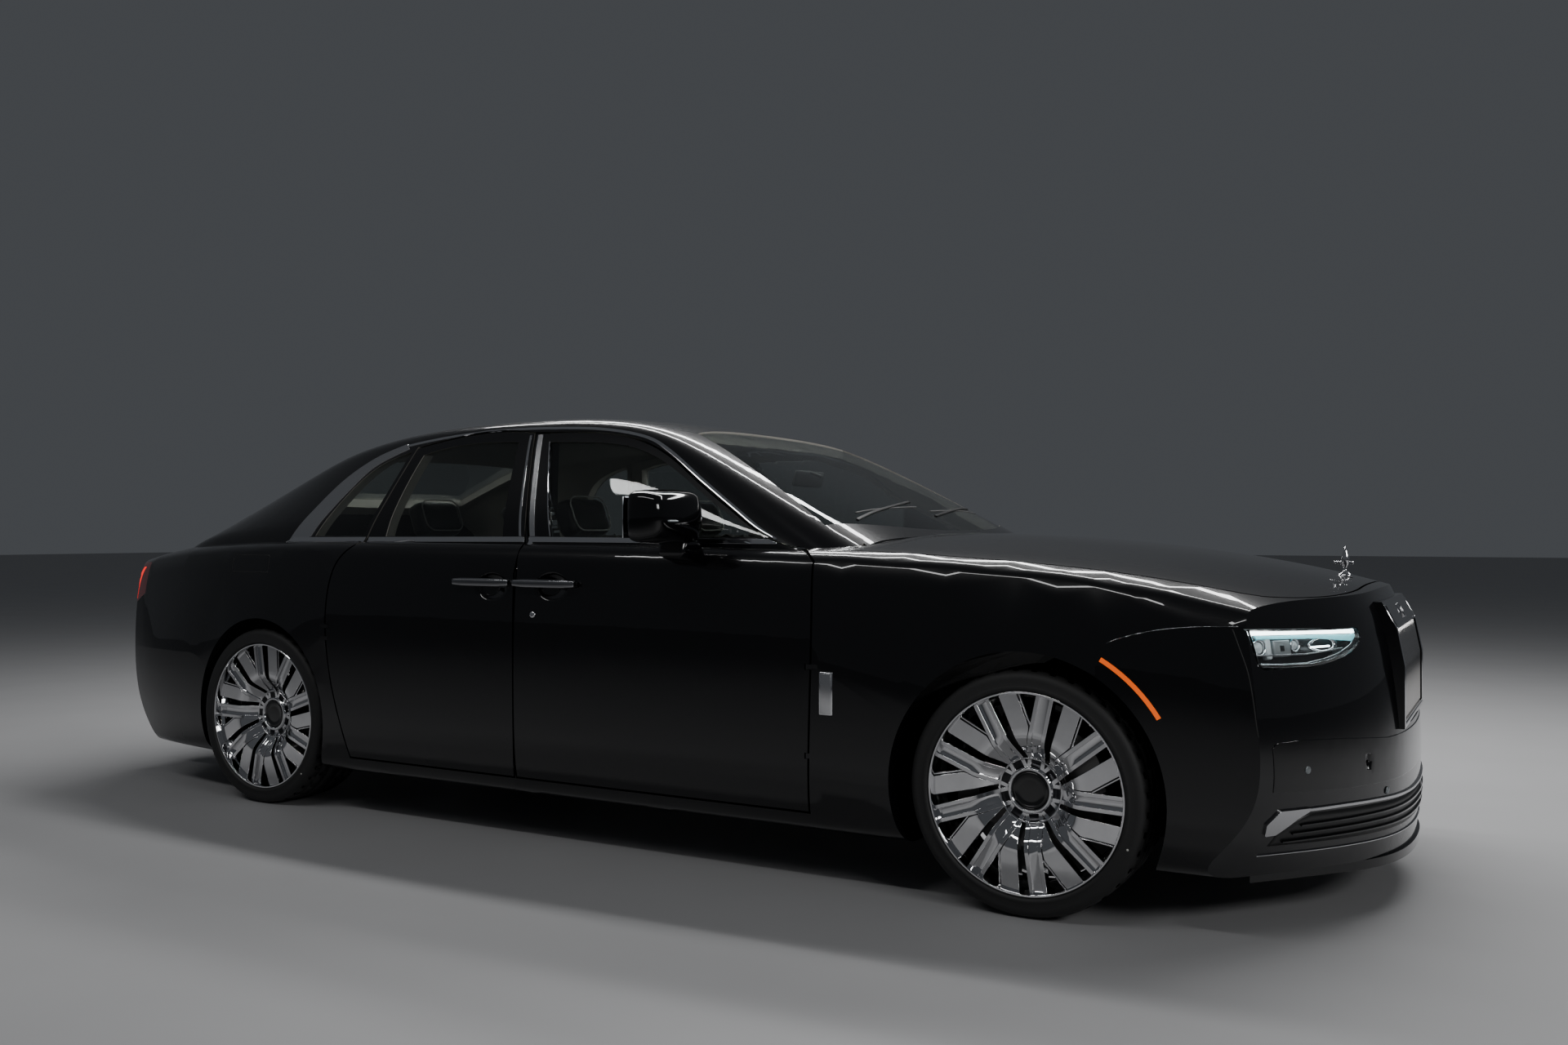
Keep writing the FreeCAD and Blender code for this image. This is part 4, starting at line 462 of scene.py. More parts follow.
# Wheels: cast alloy, machined and chrome plated, with nine broad blades between nine pairs of ribs.
# A dark dished ring and a plain black cap cover the hub; the brake disc shows between the blades.
RIM = 0.3
LIP_Y = -0.1285
SPOKE_FACE = -0.1125
SPOKE_BACK = 0.034
SPOKES = 9
SPOKE_FOOT, SPOKE_TIP = 0.066, 0.296
RIB_OFF, RIB_HALF = 0.0205, 0.0062
VALLEY_HALF = 0.016
WHEEL_OUT, WHEEL_HEIGHT = 0.828, 0.362
AXLES = {"front": (1.82, 12), "rear": (-1.475, 31)}
mirror_chrome = finish("wheel_chrome", (0.66, 0.66, 0.67), (0.78, 0.78, 0.79), 0.035, metal=1, scale=30)
hub_satin = finish("hub_satin", (0.035, 0.035, 0.038), (0.06, 0.06, 0.065), 0.28, metal=0.9, scale=200)
cap_black = finish("cap_black", (0.004, 0.004, 0.004), (0.009, 0.009, 0.009), 0.16, scale=300, coat=0.6)
disc_iron = finish("disc_iron", (0.22, 0.22, 0.22), (0.34, 0.33, 0.32), 0.32, 1, 260, 0.0002)
tyre_black = finish("tyre_rubber", (0.012, 0.012, 0.012), (0.022, 0.022, 0.022), 0.62, scale=240, bump=0.0004)
dot_paint = finish("tyre_dot", (0.55, 0.55, 0.5), (0.7, 0.7, 0.66), 0.6)
caliper_paint = finish("caliper_paint", (0.03, 0.03, 0.032), (0.05, 0.05, 0.052), 0.35, 0.4, 150, 0.0003)
engine_cover = finish("engine_cover", (0.02, 0.02, 0.021), (0.045, 0.045, 0.047), 0.42, 0.6, 60, 0.0008)


def smooth_rise(value, low, high):
    """Zero below one value and one above another, with a soft change between them."""
    share = min(1, max(0, (value - low) / (high - low)))
    return share * share * (3 - 2 * share)


def slab(low, high, rows, cols, drop=0, back=SPOKE_BACK, crown=0):
    """A part of a spoke between two lines; its face is flat outside and slopes in to the hub."""

    def corner(along, across):
        flat = along_line(low, along).lerp(along_line(high, along), across)
        slope = (1 - smooth_rise(math.hypot(*flat), 0.084, 0.169)) * 0.05
        front = SPOKE_FACE + slope + drop - crown * abs(flat.y) / VALLEY_HALF
        return Vector((flat.y, front, flat.x)), Vector((flat.y, front + back, flat.x))

    return plate(rows, cols, corner)


def spoke_bar(middle, half, *rest):
    """A straight part of a spoke from foot to tip."""
    return slab(*level(SPOKE_FOOT, SPOKE_TIP, middle - half, middle + half), 14, *rest)


def turned(outline, steps=72):
    """A ring from an outline of (radius, y) turned about the Y axis."""
    work = bmesh.new()
    corners = [work.verts.new((0, y, r)) for r, y in outline]
    edges = [work.edges.new(pair) for pair in zip(corners, corners[1:] + corners[:1])]
    bmesh.ops.spin(work, geom=corners + edges, cent=(0, 0, 0), axis=(0, 1, 0), angle=math.tau, steps=steps,
                   use_merge=True)
    bmesh.ops.remove_doubles(work, verts=work.verts, dist=1e-6)
    bmesh.ops.recalc_face_normals(work, faces=work.faces)
    return work


def at(*place):
    return Matrix.Translation(place)


def spun(degrees, axis):
    return Matrix.Rotation(math.radians(degrees), 4, axis)


spoke = [slab([(0.074, 0.034), (0.092, 0.0405), (0.18, 0.049), (0.2915, 0.0585)],
              [(0.078, 0.04), (0.101, 0.05), (0.166, 0.101), (0.278, 0.113)], 14, 2, 0.002),
         spoke_bar(0, VALLEY_HALF, 2, 0.013, 0.014, 0.004),
         slab([(0.166, 0.1035), (0.279, 0.1165)], [(0.168, 0.1085), (0.281, 0.1215)], 8, 1, 0.005, 0.01),
         spoke_bar(-RIB_OFF, RIB_HALF, 1), spoke_bar(RIB_OFF, RIB_HALF, 1)]
wheel_work = turned([
    (RIM, LIP_Y), (RIM - 0.003, LIP_Y - 0.0025), (RIM - 0.0075, LIP_Y - 0.002), (RIM - 0.01, LIP_Y + 0.003),
    (RIM - 0.01, LIP_Y + 0.02), (RIM - 0.016, LIP_Y + 0.03), (RIM - 0.03, LIP_Y + 0.062), (RIM - 0.034, 0),
    (RIM - 0.014, 0.118), (RIM - 0.006, 0.1285), (RIM, 0.1285), (RIM - 0.001, 0.05), (RIM - 0.012, 0),
    (RIM - 0.004, LIP_Y + 0.03)], 108)
for index in range(SPOKES):
    joined(wheel_work, spoke, Matrix.Rotation(math.tau * index / SPOKES, 4, "Y"))
joined(wheel_work, [
    turned([(0.07, -0.03), (0.07, -0.066), (0.0655, -0.0705), (0.06, -0.0705), (0.056, -0.066),
            (0.0545, -0.05), (0.0545, -0.03)]),
    turned([(0.099, -0.035), (0.099, -0.0655), (0.0965, -0.0685), (0.0925, -0.0665), (0.09, -0.058),
            (0.09, -0.035)])])
hub_work = turned([(0.093, -0.03), (0.093, -0.062), (0.088, -0.063), (0.078, -0.056), (0.066, -0.0545),
                   (0.066, -0.03)])
joined(hub_work, [turned([(0, -0.012), (0.088, -0.012), (0.088, -0.05), (0, -0.05)], 48)])
cap_work = turned([(0, -0.04), (0.0545, -0.04), (0.0545, -0.0635), (0.052, -0.066), (0.047, -0.0665),
                   (0.045, -0.065), (0.03, -0.0655), (0, -0.066)])
disc_work = turned([(0.085, -0.03), (0.1, -0.03), (0.1, 0.028), (0.198, 0.028), (0.2, 0.03),
                    (0.2, 0.038), (0.1985, 0.04), (0.18, 0.04), (0.18, 0.044), (0.1985, 0.044),
                    (0.2, 0.046), (0.2, 0.06), (0.198, 0.062), (0.085, 0.062)])

# Tyres: low and wide, with a rounded shoulder, a rim guard and a cut tread.
# Four grooves run round, and slots cross the outer rows; the side carries no words.
TREAD_STEPS = 120
SLOT_DEPTH = 0.006
tread = [(0.3005, -0.126), (0.3015, -0.1325), (0.3075, -0.1372), (0.3135, -0.1362), (0.3165, -0.1345),
         (0.332, -0.1372), (0.343, -0.1352), (0.352, -0.129), (0.3575, -0.119), (0.3605, -0.108),
         (0.3608, -0.084), (0.354, -0.0835), (0.354, -0.0745), (0.3612, -0.074), (0.3618, -0.036),
         (0.3545, -0.0355), (0.3545, -0.0255), (0.362, -0.025)]
tread += [(r, -y) for r, y in reversed(tread)] + [(0.2985, 0.11), (0.2985, -0.11)]
tyre_work = turned(tread, TREAD_STEPS)
slots = []
for face in tyre_work.faces:
    middle = face.calc_center_median()
    radius, beside = math.hypot(middle.x, middle.z), abs(middle.y)
    turn = int((math.atan2(middle.x, middle.z) / math.tau + 0.5) * TREAD_STEPS)
    outer_row = radius > 0.3555 and 0.084 < beside < 0.1195
    inner_row = radius > 0.3595 and 0.0365 < beside < 0.0735
    if (outer_row and turn % 3 == 0) or (inner_row and (turn + (middle.y > 0)) % 4 == 0):
        slots.append(face)
for face in bmesh.ops.extrude_discrete_faces(tyre_work, faces=slots)["faces"]:
    for vertex in face.verts:
        shrink = 1 - SLOT_DEPTH / math.hypot(vertex.co.x, vertex.co.z)
        vertex.co.x *= shrink
        vertex.co.z *= shrink
dot_work = turned([(0, -0.1374), (0.0034, -0.1374), (0.0034, -0.1358), (0, -0.1358)], 20)

for end, (axle_x, roll) in AXLES.items():
    for side, sign in SIDES:
        corner_name = "_%s_%s" % (end, side)
        rolled = (at(axle_x, sign * WHEEL_OUT, WHEEL_HEIGHT)
                  @ (Matrix.Rotation(math.pi, 4, "Z") if sign > 0 else Matrix()) @ spun(roll, "Y"))
        for label, work, material, slot, edge, node in (
                ("wheel_face", wheel_work, mirror_chrome, "wheel_chrome", 0.0012, "wheel"),
                ("hub_ring", hub_work, hub_satin, "wheel_chrome", 0.0008, None),
                ("wheel_cap", cap_work, cap_black, "wheel_chrome", 0.0006, None),
                ("brake_disc", disc_work, disc_iron, "wheel_chrome", 0.0005, None),
                ("tyre_tread", tyre_work, tyre_black, "tyre_rubber", 0, "tyre"),
                ("paint_dot", dot_work, dot_paint, "tyre_rubber", 0, None)):
            place = rolled @ spun(100, "Y") @ at(0, 0, 0.331) if label == "paint_dot" else rolled
            piece = finished(label + corner_name, joined(bmesh.new(), [work], place), material,
                             "wheel%s_body" % corner_name)
            if edge:
                rim(piece, edge)
            if node:
                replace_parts(piece, node + corner_name)
put_on(caliper_paint, "knuckle_front_left", "knuckle_front_right", "chassis")
put_on(engine_cover, "engine_block")

# Headlamps: a clear moulded lens over a dark bowl, with a bar of light along its upper edge.
# Under the bar stand two round lights in bright rings, a plain square sensor box and a slim second bar.
def clear_glass(name, colour):
    """Clear or tinted glass that lets the studio's light through to what lies behind it."""
    material, tree, shader = material_of(name)
    feed(tree, shader, {"Base Color": colour + (1,), "Roughness": 0, "Metallic": 0, "IOR": 1.45,
                        "Transmission Weight": 1})
    feed(tree, shader, {"Roughness": ranged(tree, grain_of(tree, 3)["Tone"], 0, 1, 0, 0.012)})
    tint = tuple(math.sqrt(c) * 0.85 for c in colour) + (1,)
    through = put(tree, "BsdfTransparent", {"Color": tint})
    shadow = put(tree, "LightPath").outputs["Is Shadow Ray"]
    mix = put(tree, "MixShader", {0: shadow, 1: shader.outputs[0], 2: through.outputs[0]})
    feed(tree, tree.nodes["Material Output"], {"Surface": mix.outputs[0]})
    return material


def lit(material, colour, strength):
    light = {"Emission Color": colour + (1,), "Emission Strength": strength}
    feed(material.node_tree, shader_of(material), light)
    return material


def glowing(name, colour, strength, dark=0.6):
    """A lit diffuser, brighter in places."""
    return lit(finish(name, [c * dark for c in colour], colour, 0.3, scale=60), colour, strength)


lens_glass = clear_glass("clear_lens", (0.96, 0.98, 0.98))
bowl_black = finish("lamp_bowl", (0.01, 0.011, 0.012), (0.022, 0.024, 0.026), 0.3, metal=0.5, scale=120)
lamp_white = glowing("lamp_white", (0.86, 0.97, 1), 7)
lamp_cyan = glowing("lamp_cyan", (0.22, 0.62, 0.7), 0.7)
sensor_grey = finish("sensor_grey", (0.2, 0.22, 0.23), (0.27, 0.29, 0.3), 0.32, metal=0.4, scale=140)
frosted = finish("frosted_bar", (0.42, 0.46, 0.48), (0.55, 0.6, 0.62), 0.25, scale=30, stretch=(1, 1, 12))
lamp_skin = skin_of("headlamps")


def seat_on(skin, look, a, b, proud):
    """A matrix whose Z axis leaves the skin at a point of one view, with X level and Y up."""
    direction, start = LOOKS[look]
    place, normal, _, _ = skin.ray_cast(start(a, b), direction)
    if place is None:
        place, normal, _, _ = skin.find_nearest(start(a, b) + direction * 0.6)
    if normal.dot(direction) > 0:
        normal = -normal
    across = Vector((0, 0, 1)).cross(normal).normalized()
    matrix = Matrix((across, normal.cross(across), normal)).transposed().to_4x4()
    matrix.translation = place + normal * proud
    return matrix


def block(size, matrix, edge=0.002, segments=2):
    """A rounded block of one size, placed by a matrix."""
    work = bmesh.new()
    bmesh.ops.create_cube(work, size=1, matrix=Matrix.Diagonal(tuple(size) + (1,)))
    bmesh.ops.bevel(work, geom=list(work.edges), offset=edge, segments=segments, profile=0.5, material=-1,
                    affect="EDGES")
    bmesh.ops.transform(work, matrix=matrix, verts=work.verts)
    bmesh.ops.recalc_face_normals(work, faces=work.faces)
    return work


def ringed(outline, matrix, stretch=(1, 1), steps=40):
    """A ring turned about the matrix's Z axis, stretched across it where it is oval."""
    work = turned([(r, -h) for r, h in outline], steps)
    placed = matrix @ Matrix.Diagonal((*stretch, 1, 1)) @ spun(-90, "X")
    bmesh.ops.transform(work, matrix=placed, verts=work.verts)
    bmesh.ops.recalc_face_normals(work, faces=work.faces)
    return work


RING = [(0.017, 0), (0.019, 0.006), (0.022, 0.008), (0.024, 0.006), (0.025, 0), (0.021, -0.002)]
DOME = [(0, 0.01), (0.006, 0.0095), (0.012, 0.007), (0.016, 0.003), (0.0165, -0.002), (0, -0.003)]
LAMP_LOW = [(0.923, 0.767), (0.914, 0.759), (0.845, 0.755), (0.755, 0.754), (0.68, 0.762), (0.614, 0.775),
            (0.556, 0.794), (0.525, 0.813), (0.516, 0.83)]
LAMP_HIGH = [(0.928, 0.861), (0.845, 0.858), (0.755, 0.856), (0.68, 0.854), (0.614, 0.852), (0.556, 0.85),
             (0.535, 0.849), (0.525, 0.8485), (0.518, 0.846)]
LAMP_PATCHES = [
    ("headlamp_lens_", LAMP_LOW, LAMP_HIGH, lens_glass, 60, 10, 0, 0.003, 0, "clear_lens"),
    ("headlamp_bowl_", LAMP_LOW, LAMP_HIGH, bowl_black, 60, 10, -0.04, 0.044, 0),
    ("headlamp_light_bar_", [(0.922, 0.847), (0.7, 0.842), (0.532, 0.836)],
     [(0.925, 0.858), (0.7, 0.8525), (0.532, 0.847)], lamp_white, 60, 2, -0.005, 0.014, 0.0015),
    ("headlamp_glow_", [(0.9, 0.836), (0.7, 0.83), (0.545, 0.815), (0.522, 0.826)],
     [(0.905, 0.845), (0.7, 0.84), (0.545, 0.834), (0.522, 0.836)], lamp_cyan, 60, 2, -0.012, 0.018, 0.001),
    ("headlamp_lower_trim_", *[[(a, b + up) for a, b in LAMP_LOW[1:]] for up in (0.003, 0.012)], chrome, 60, 2,
     -0.012, 0.024, 0.002),
    ("headlamp_shelf_", [(0.915, 0.79), (0.75, 0.786), (0.6, 0.795)],
     [(0.915, 0.794), (0.75, 0.79), (0.6, 0.799)], satin_chrome, 40, 2, -0.01, 0.036, 0.001)]
for side, sign in SIDES:
    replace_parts(laid_patches("front", lamp_skin, "body", LAMP_PATCHES, side, sign)[0], "headlamps")

    def lamp_seat(a, b, proud):
        return seat_on(lamp_skin, "front", sign * a, b, proud)

    rings = [ringed(RING, lamp_seat(a, b, proud), stretch) for a, b, proud, stretch in (
        (0.893, 0.813, -0.024, (1, 1)), (0.775, 0.816, -0.024, (0.8, 0.8)),
        (0.672, 0.812, -0.022, (2.7, 0.85)))]
    domes = [ringed(DOME, lamp_seat(a, b, -0.026), stretch) for a, b, stretch in (
        (0.893, 0.813, (1, 1)), (0.775, 0.816, (0.8, 0.8)))]
    finished("headlamp_rings_" + side, rings, chrome)
    finished("headlamp_domes_" + side, domes, frosted)
    for label, size, place, edge, material in (
            ("second_bar_", (0.085, 0.005, 0.006), (0.69, 0.806, -0.014), 0.002, lamp_white),
            ("upright_bar_", (0.022, 0.06, 0.02), (0.868, 0.81, -0.024), 0.005, frosted),
            ("sensor_box_", (0.066, 0.044, 0.03), (0.828, 0.808, -0.026), 0.003, sensor_grey),
            ("sensor_window_", (0.017, 0.017, 0.033), (0.828, 0.808, -0.026), 0.002, bowl_black)):
        finished("headlamp_" + label + side, block(size, lamp_seat(*place), edge), material)

# Grille and nose: a plated frame with upright vanes under a black header, over a smooth black bumper.
# The bumper has a sunk dark panel, a plated blade along its mouth and thin bars in the mouth.
VANES = 20
VANE_WIDTH = 0.0125
GRILLE_FACE = 2.778
GRILLE_BEND = 0.7275
GRILLE_EDGE = 0.322
VANE_EDGE = GRILLE_EDGE - 0.02
gloss_black = paint("gloss_black", (0.0012, 0.0012, 0.0014), (0.003, 0.003, 0.0035), 0.1, 500, 0.1)
vane_chrome = finish("grille_chrome", (0.7, 0.68, 0.66), (0.8, 0.78, 0.76), 0.1, 1, 120, 0, (1, 1, 0.1))
put_on(gloss_black, "grille", "front_lip")


def grille_bar(across, low, high, wide, deep, proud, edge):
    """An upright bar that follows the grille's face, upright below and leaning back above."""
    work = block((deep, wide, high - low), at(GRILLE_FACE - deep / 2 + proud, across, (low + high) / 2), edge)
    for cut in (GRILLE_BEND, 0.79, 0.84, 0.88):
        if low < cut < high:
            bmesh.ops.bisect_plane(work, geom=[*work.verts, *work.edges, *work.faces], dist=1e-5,
                                   plane_co=(0, 0, cut), plane_no=(0, 0, 1))
    for vertex in work.verts:
        over = max(0, vertex.co.z - GRILLE_BEND)
        vertex.co.x -= 0.19 * over if over < 0.11 else 0.0209 + 0.53 * (over - 0.11)
    return work


finished("grille_vanes", [
    grille_bar(-VANE_EDGE + (i + 0.5) * 2 * VANE_EDGE / VANES, 0.562, 0.834, VANE_WIDTH, 0.05, -0.004, 0.003)
    for i in range(VANES)], vane_chrome)
finished("grille_frame_trim", [
    *[grille_bar(a, 0.548, 0.905, 0.011, 0.012, 0.002, 0.003) for a in (-GRILLE_EDGE, GRILLE_EDGE)],
    block((0.014, 2 * GRILLE_EDGE, 0.016), at(GRILLE_FACE - 0.005, 0, 0.551), 0.004, 3),
    block((0.012, 2 * GRILLE_EDGE, 0.006), at(GRILLE_FACE - 0.0245, 0, 0.838))], chrome)
grille_skin = skin_of("grille")
laid_patch("grille_header", [(-0.304, 0.842), (0.304, 0.842)], [(-0.29, 0.903), (0.29, 0.903)], "front",
           grille_skin, gloss_black, "body", 40, 6, 0.0015, 0.004, 0.001, "gloss_black")
finished("grille_header_blank", block((0.036, 0.046, 0.006), seat_on(grille_skin, "front", 0, 0.874, 0.002)),
         bowl_black)
finished("grille_header_edges", [
    block((0.0025, 0.046, 0.008), seat_on(grille_skin, "front", a, 0.874, 0.002), 0.0008)
    for a in (-0.019, 0.019)], chrome)


def both(*points):
    """A line drawn on the right half, carried over to the left."""
    return list(points) + [(-a, b) for a, b in reversed(points) if a < 0]


bumper_skin = skin_of("front_bumper")
laid_patches("front", bumper_skin, "body", [
    ("bumper_dark_panel", both((-0.905, 0.424), (-0.783, 0.416), (-0.657, 0.408), (-0.4, 0.402), (0, 0.4)),
     both((-0.912, 0.545), (-0.9, 0.556), (-0.82, 0.559), (-0.661, 0.55), (-0.438, 0.53), (0, 0.524)),
     gloss_black, 160, 6, 0.0025, 0.003, 0.002, "gloss_black"),
    ("bumper_blade_strip",
     both((-0.778, 0.359), (-0.644, 0.357), (-0.489, 0.352), (-0.178, 0.339), (0, 0.336)),
     both((-0.778, 0.368), (-0.644, 0.366), (-0.489, 0.361), (-0.178, 0.348), (0, 0.345)),
     satin_chrome, 160, 2, 0.006, 0.003, 0.0015, BRIGHT),
    ("bumper_mouth", both((-0.83, 0.262), (-0.6, 0.254), (0, 0.248)),
     both((-0.832, 0.292), (-0.792, 0.336), (-0.762, 0.351), (-0.489, 0.345), (0, 0.329)),
     black_trim, 160, 4, 0.001, 0.003, 0),
    *[("bumper_mouth_bar_%d" % index,
       both((-0.8 + index * 0.012, height + 0.004), (-0.5, height), (0, height - 0.006)),
       both((-0.8 + index * 0.012, height + 0.009), (-0.5, height + 0.006), (0, height)),
       gloss_black, 120, 2, 0.008, 0.002, 0.0012) for index, height in enumerate((0.268, 0.291, 0.314))],
    ("bumper_lip_edge", both((-0.838, 0.2335), (-0.6, 0.2285), (0, 0.224)),
     both((-0.838, 0.2365), (-0.6, 0.2315), (0, 0.227)), chrome, 120, 2, 0.004, 0.002, 0.0006, BRIGHT)])
BLADE = ("bumper_blade_", [(0.868, 0.299), (0.84, 0.3), (0.802, 0.34), (0.77, 0.36)],
         [(0.873, 0.302), (0.889, 0.334), (0.868, 0.371), (0.772, 0.369)],
         satin_chrome, 30, 6, 0.007, 0.003, 0.002, BRIGHT)
# The fender seam is drawn as a thin bright satin chrome strip along this line: a painted highlight where the
# seam's edge catches the light.
FENDER_SEAM_HIGHLIGHT = [(2.075, 0.973, 0.8), (2.15, 0.967, 0.835), (2.25, 0.958, 0.858), (2.34, 0.948, 0.866),
               (2.42, 0.936, 0.866)]
BUMPER_SEAM = [(2.404, 0.935, 0.862), (2.422, 0.941, 0.815), (2.446, 0.945, 0.746), (2.46, 0.947, 0.67),
               (2.468, 0.948, 0.606), (2.474, 0.949, 0.573)]
SENSOR = [(0, 0.0022), (0.008, 0.0022), (0.0105, 0.001), (0.011, -0.002), (0, -0.002)]
for side, sign in SIDES:
    laid_patches("front", bumper_skin, "body", [BLADE], side, sign)
    # Painted highlight: a bright satin strip laid on the fender seam, standing in for light caught by its
    # edge.
    laid_strip("fender_seam_highlight_" + side, mirrored(FENDER_SEAM_HIGHLIGHT, sign), 0.003, shell_skin, satin_chrome, 60,
               proud=0.001)
    laid_strip("bumper_seam_" + side, mirrored(BUMPER_SEAM, sign), 0.0035, bumper_skin, rubber, 40,
               proud=0.0006)
    finished("bumper_sensors_" + side, [ringed(SENSOR, seat_on(bumper_skin, "front", sign * a, b, 0.003))
                                        for a, b in ((0.802, 0.476), (0.442, 0.376))], sensor_grey)

# Small lamps: amber markers ahead of the front wheels and tall red lamps at the rear corners.
# Each red lamp carries two brighter upright light guides laid on its lens; the amber lenses are lit.
amber = finish("amber_lens", (0.5, 0.07, 0.002), (0.7, 0.11, 0.004), 0.1, scale=90, coat=1)
red_lens = finish("red_lens", (0.16, 0.002, 0.003), (0.24, 0.004, 0.005), 0.06, scale=60, coat=1)
red_glow = glowing("red_guide", (0.9, 0.02, 0.015), 1.2, 0.8)
put_on(lit(amber, (1, 0.13, 0.004), 0.75), "marker_lamps")
put_on(red_lens, "tail_lamps")
tail_lamp_skin = skin_of("tail_lamps")
for side, sign in SIDES:
    for index, outward in enumerate((0.74, 0.8)):
        inner, outer = sign * (outward - 0.005), sign * (outward + 0.005)
        laid_patch("tail_lamp_guide_%s_%d" % (side, index), [(inner, 0.815), (inner, 0.962)],
                   [(outer, 0.815), (outer, 0.962)], "rear", tail_lamp_skin, red_glow, "body", 24, 2, 0.0008,
                   0.004, 0.0004, "red_lens")

# Rear: a plain plate holder on the boot lid, a plated bar over it, low reflectors and the exhaust ends.
# The plate is blank; the bar is a pressed strip that hides the plate's light.
LID = "boot_lid_body"
PLATE_Z = 0.76
plate_white = finish("plate_blank", (0.62, 0.62, 0.6), (0.7, 0.7, 0.68), 0.42, scale=60, bump=0.0002)
boot_skin = skin_of("boot_lid")
rear_skin = skin_of("rear_bumper")
put_on(chrome, "exhaust_tips")
SCREW = [(0, 0.003), (0.004, 0.0028), (0.0055, 0.001), (0.0055, -0.003), (0, -0.003)]


def plate_seat(across, proud):
    return seat_on(boot_skin, "rear", across, PLATE_Z, proud)


finished("plate_holder", block((0.54, 0.125, 0.006), plate_seat(0, 0.004), 0.003), black_trim, LID)
finished("plate_blank", block((0.515, 0.105, 0.004), plate_seat(0, 0.008), 0.0015), plate_white, LID)
finished("plate_screws", [ringed(SCREW, plate_seat(a, 0.01)) for a in (-0.1525, 0.1525)], satin_chrome, LID)
laid_patch("plate_bar", *level(-0.34, 0.34, 0.838, 0.858), "rear", boot_skin, chrome, LID, 60, 3, 0.01, 0.003,
           0.003, BRIGHT)
laid_patches("rear", rear_skin, "body", [
    ("rear_bumper_strip", [(-0.72, 0.47), (0, 0.466), (0.72, 0.47)],
     [(-0.72, 0.48), (0, 0.476), (0.72, 0.48)], chrome, 120, 2, 0.004, 0.003, 0.001, BRIGHT),
    ("rear_diffuser", [(-0.55, 0.275), (0.55, 0.275)], [(-0.6, 0.375), (0.6, 0.375)],
     black_trim, 90, 6, 0.002, 0.003, 0.002)])
REFLECTOR = ("rear_reflector_", [(0.6, 0.405), (0.78, 0.41)], [(0.6, 0.422), (0.78, 0.427)],
             red_lens, 30, 3, 0.003, 0.003, 0.0015, "red_lens")
LID_LIGHT = ("boot_lid_light_", *level(0.4, 0.6, 0.69, 0.712), red_lens, 20, 3, 0.002, 0.003, 0.001)
for side, sign in SIDES:
    laid_patches("rear", rear_skin, "body", [REFLECTOR], side, sign)
    laid_patches("rear", boot_skin, LID, [LID_LIGHT], side, sign)

# Windows: tinted safety glass in the windscreen, the rear window and the side windows.
# The door glasses drop into the doors; the others are bonded to the body.
put_on(clear_glass("screen_glass", (0.6, 0.64, 0.62)), "fixed_glass")
put_on(clear_glass("door_glass", (0.5, 0.53, 0.52)), *["door_glass_%s_%s" % door for door in DOORS])

# Door fittings: long pull handles that meet at the pillar, key barrels and rounded mirror heads.
# The handles stand over shallow dishes pressed in the door skins; the mirrors stand on a foot at the belt.
HANDLE_OUT, HANDLE_Z = 1.0065, 0.941
DISH_HALF = (0.085, 0.058)
MIRROR_FOOT_Z, MIRROR_HEAD_Z = 1.066, 1.088
BARREL = [(0, 0.0045), (0.006, 0.0045), (0.0105, 0.004), (0.012, 0.001), (0.012, -0.003), (0, -0.003)]
handle_chrome = finish("handle_chrome", (0.3, 0.3, 0.31), (0.4, 0.4, 0.41), 0.1, 1, 120,
                       stretch=(0.2, 1, 1))
for side, sign in SIDES:
    for end, low_x, high_x in (("rear", -0.366, -0.098), ("front", -0.078, 0.204)):
        body = "door_%s_%s_body" % (end, side)
        long, middle_x = high_x - low_x, (low_x + high_x) / 2
        grip = bmesh.new()
        bmesh.ops.create_cube(grip, size=1, matrix=Matrix.Diagonal((long, 0.017, 0.03, 1)))
        bmesh.ops.subdivide_edges(grip, edges=[e for e in grip.edges if e.calc_length() > 0.1], cuts=11)
        for vertex in grip.verts:
            share = vertex.co.x / long * 2
            vertex.co.z *= 1 - 0.22 * smooth_rise(abs(share), 0.6, 1)
            vertex.co.y -= sign * 0.004 * share * share
        bmesh.ops.bevel(grip, geom=[e for e in grip.edges if e.calc_face_angle(0) > 0.6], offset=0.0055,
                        segments=4, profile=0.5, material=-1, affect="EDGES")
        bmesh.ops.translate(grip, verts=grip.verts, vec=(middle_x, sign * HANDLE_OUT, HANDLE_Z))
        posts = [block((0.03, 0.02, 0.02), at(x, sign * 0.993, HANDLE_Z), 0.005)
                 for x in (low_x + 0.025, high_x - 0.025)]
        handle = finished("handle_bar_%s_%s" % (end, side), [grip, *posts], handle_chrome, body)
        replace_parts(handle, "handle_%s_%s" % (end, side))
        line = block((long - 0.03, 0.003, 0.0025), at(middle_x, sign * 1.0145, 0.95), 0.001)
        finished("handle_top_line_%s_%s" % (end, side), line, chrome, body)


def softened(piece, levels):
    """Rounds a piece by dividing its faces."""
    soften = piece.modifiers.new("soften", "SUBSURF")
    soften.levels = soften.render_levels = levels
    return piece


def dished(material, centres, depth):
    """Presses shallow oval dishes into a painted skin, seen along Y."""
    tree = material.node_tree
    place = put(tree, "TexCoord").outputs["Object"]
    slope = (1 / DISH_HALF[0], 0, 1 / DISH_HALF[1])
    bowls = []
    for x, z in centres:
        offset = vector_of(tree, "MULTIPLY_ADD", place, slope, (-x / DISH_HALF[0], 0, -z / DISH_HALF[1]))
        bowls.append(ranged(tree, vector_of(tree, "LENGTH", offset), 0.35, 1, 0, 0.5, "SMOOTHERSTEP"))
    normal = relief(tree, maths(tree, "ADD", *bowls), 1, depth)
    feed(tree, shader_of(material), {"Normal": normal, "Coat Normal": normal})


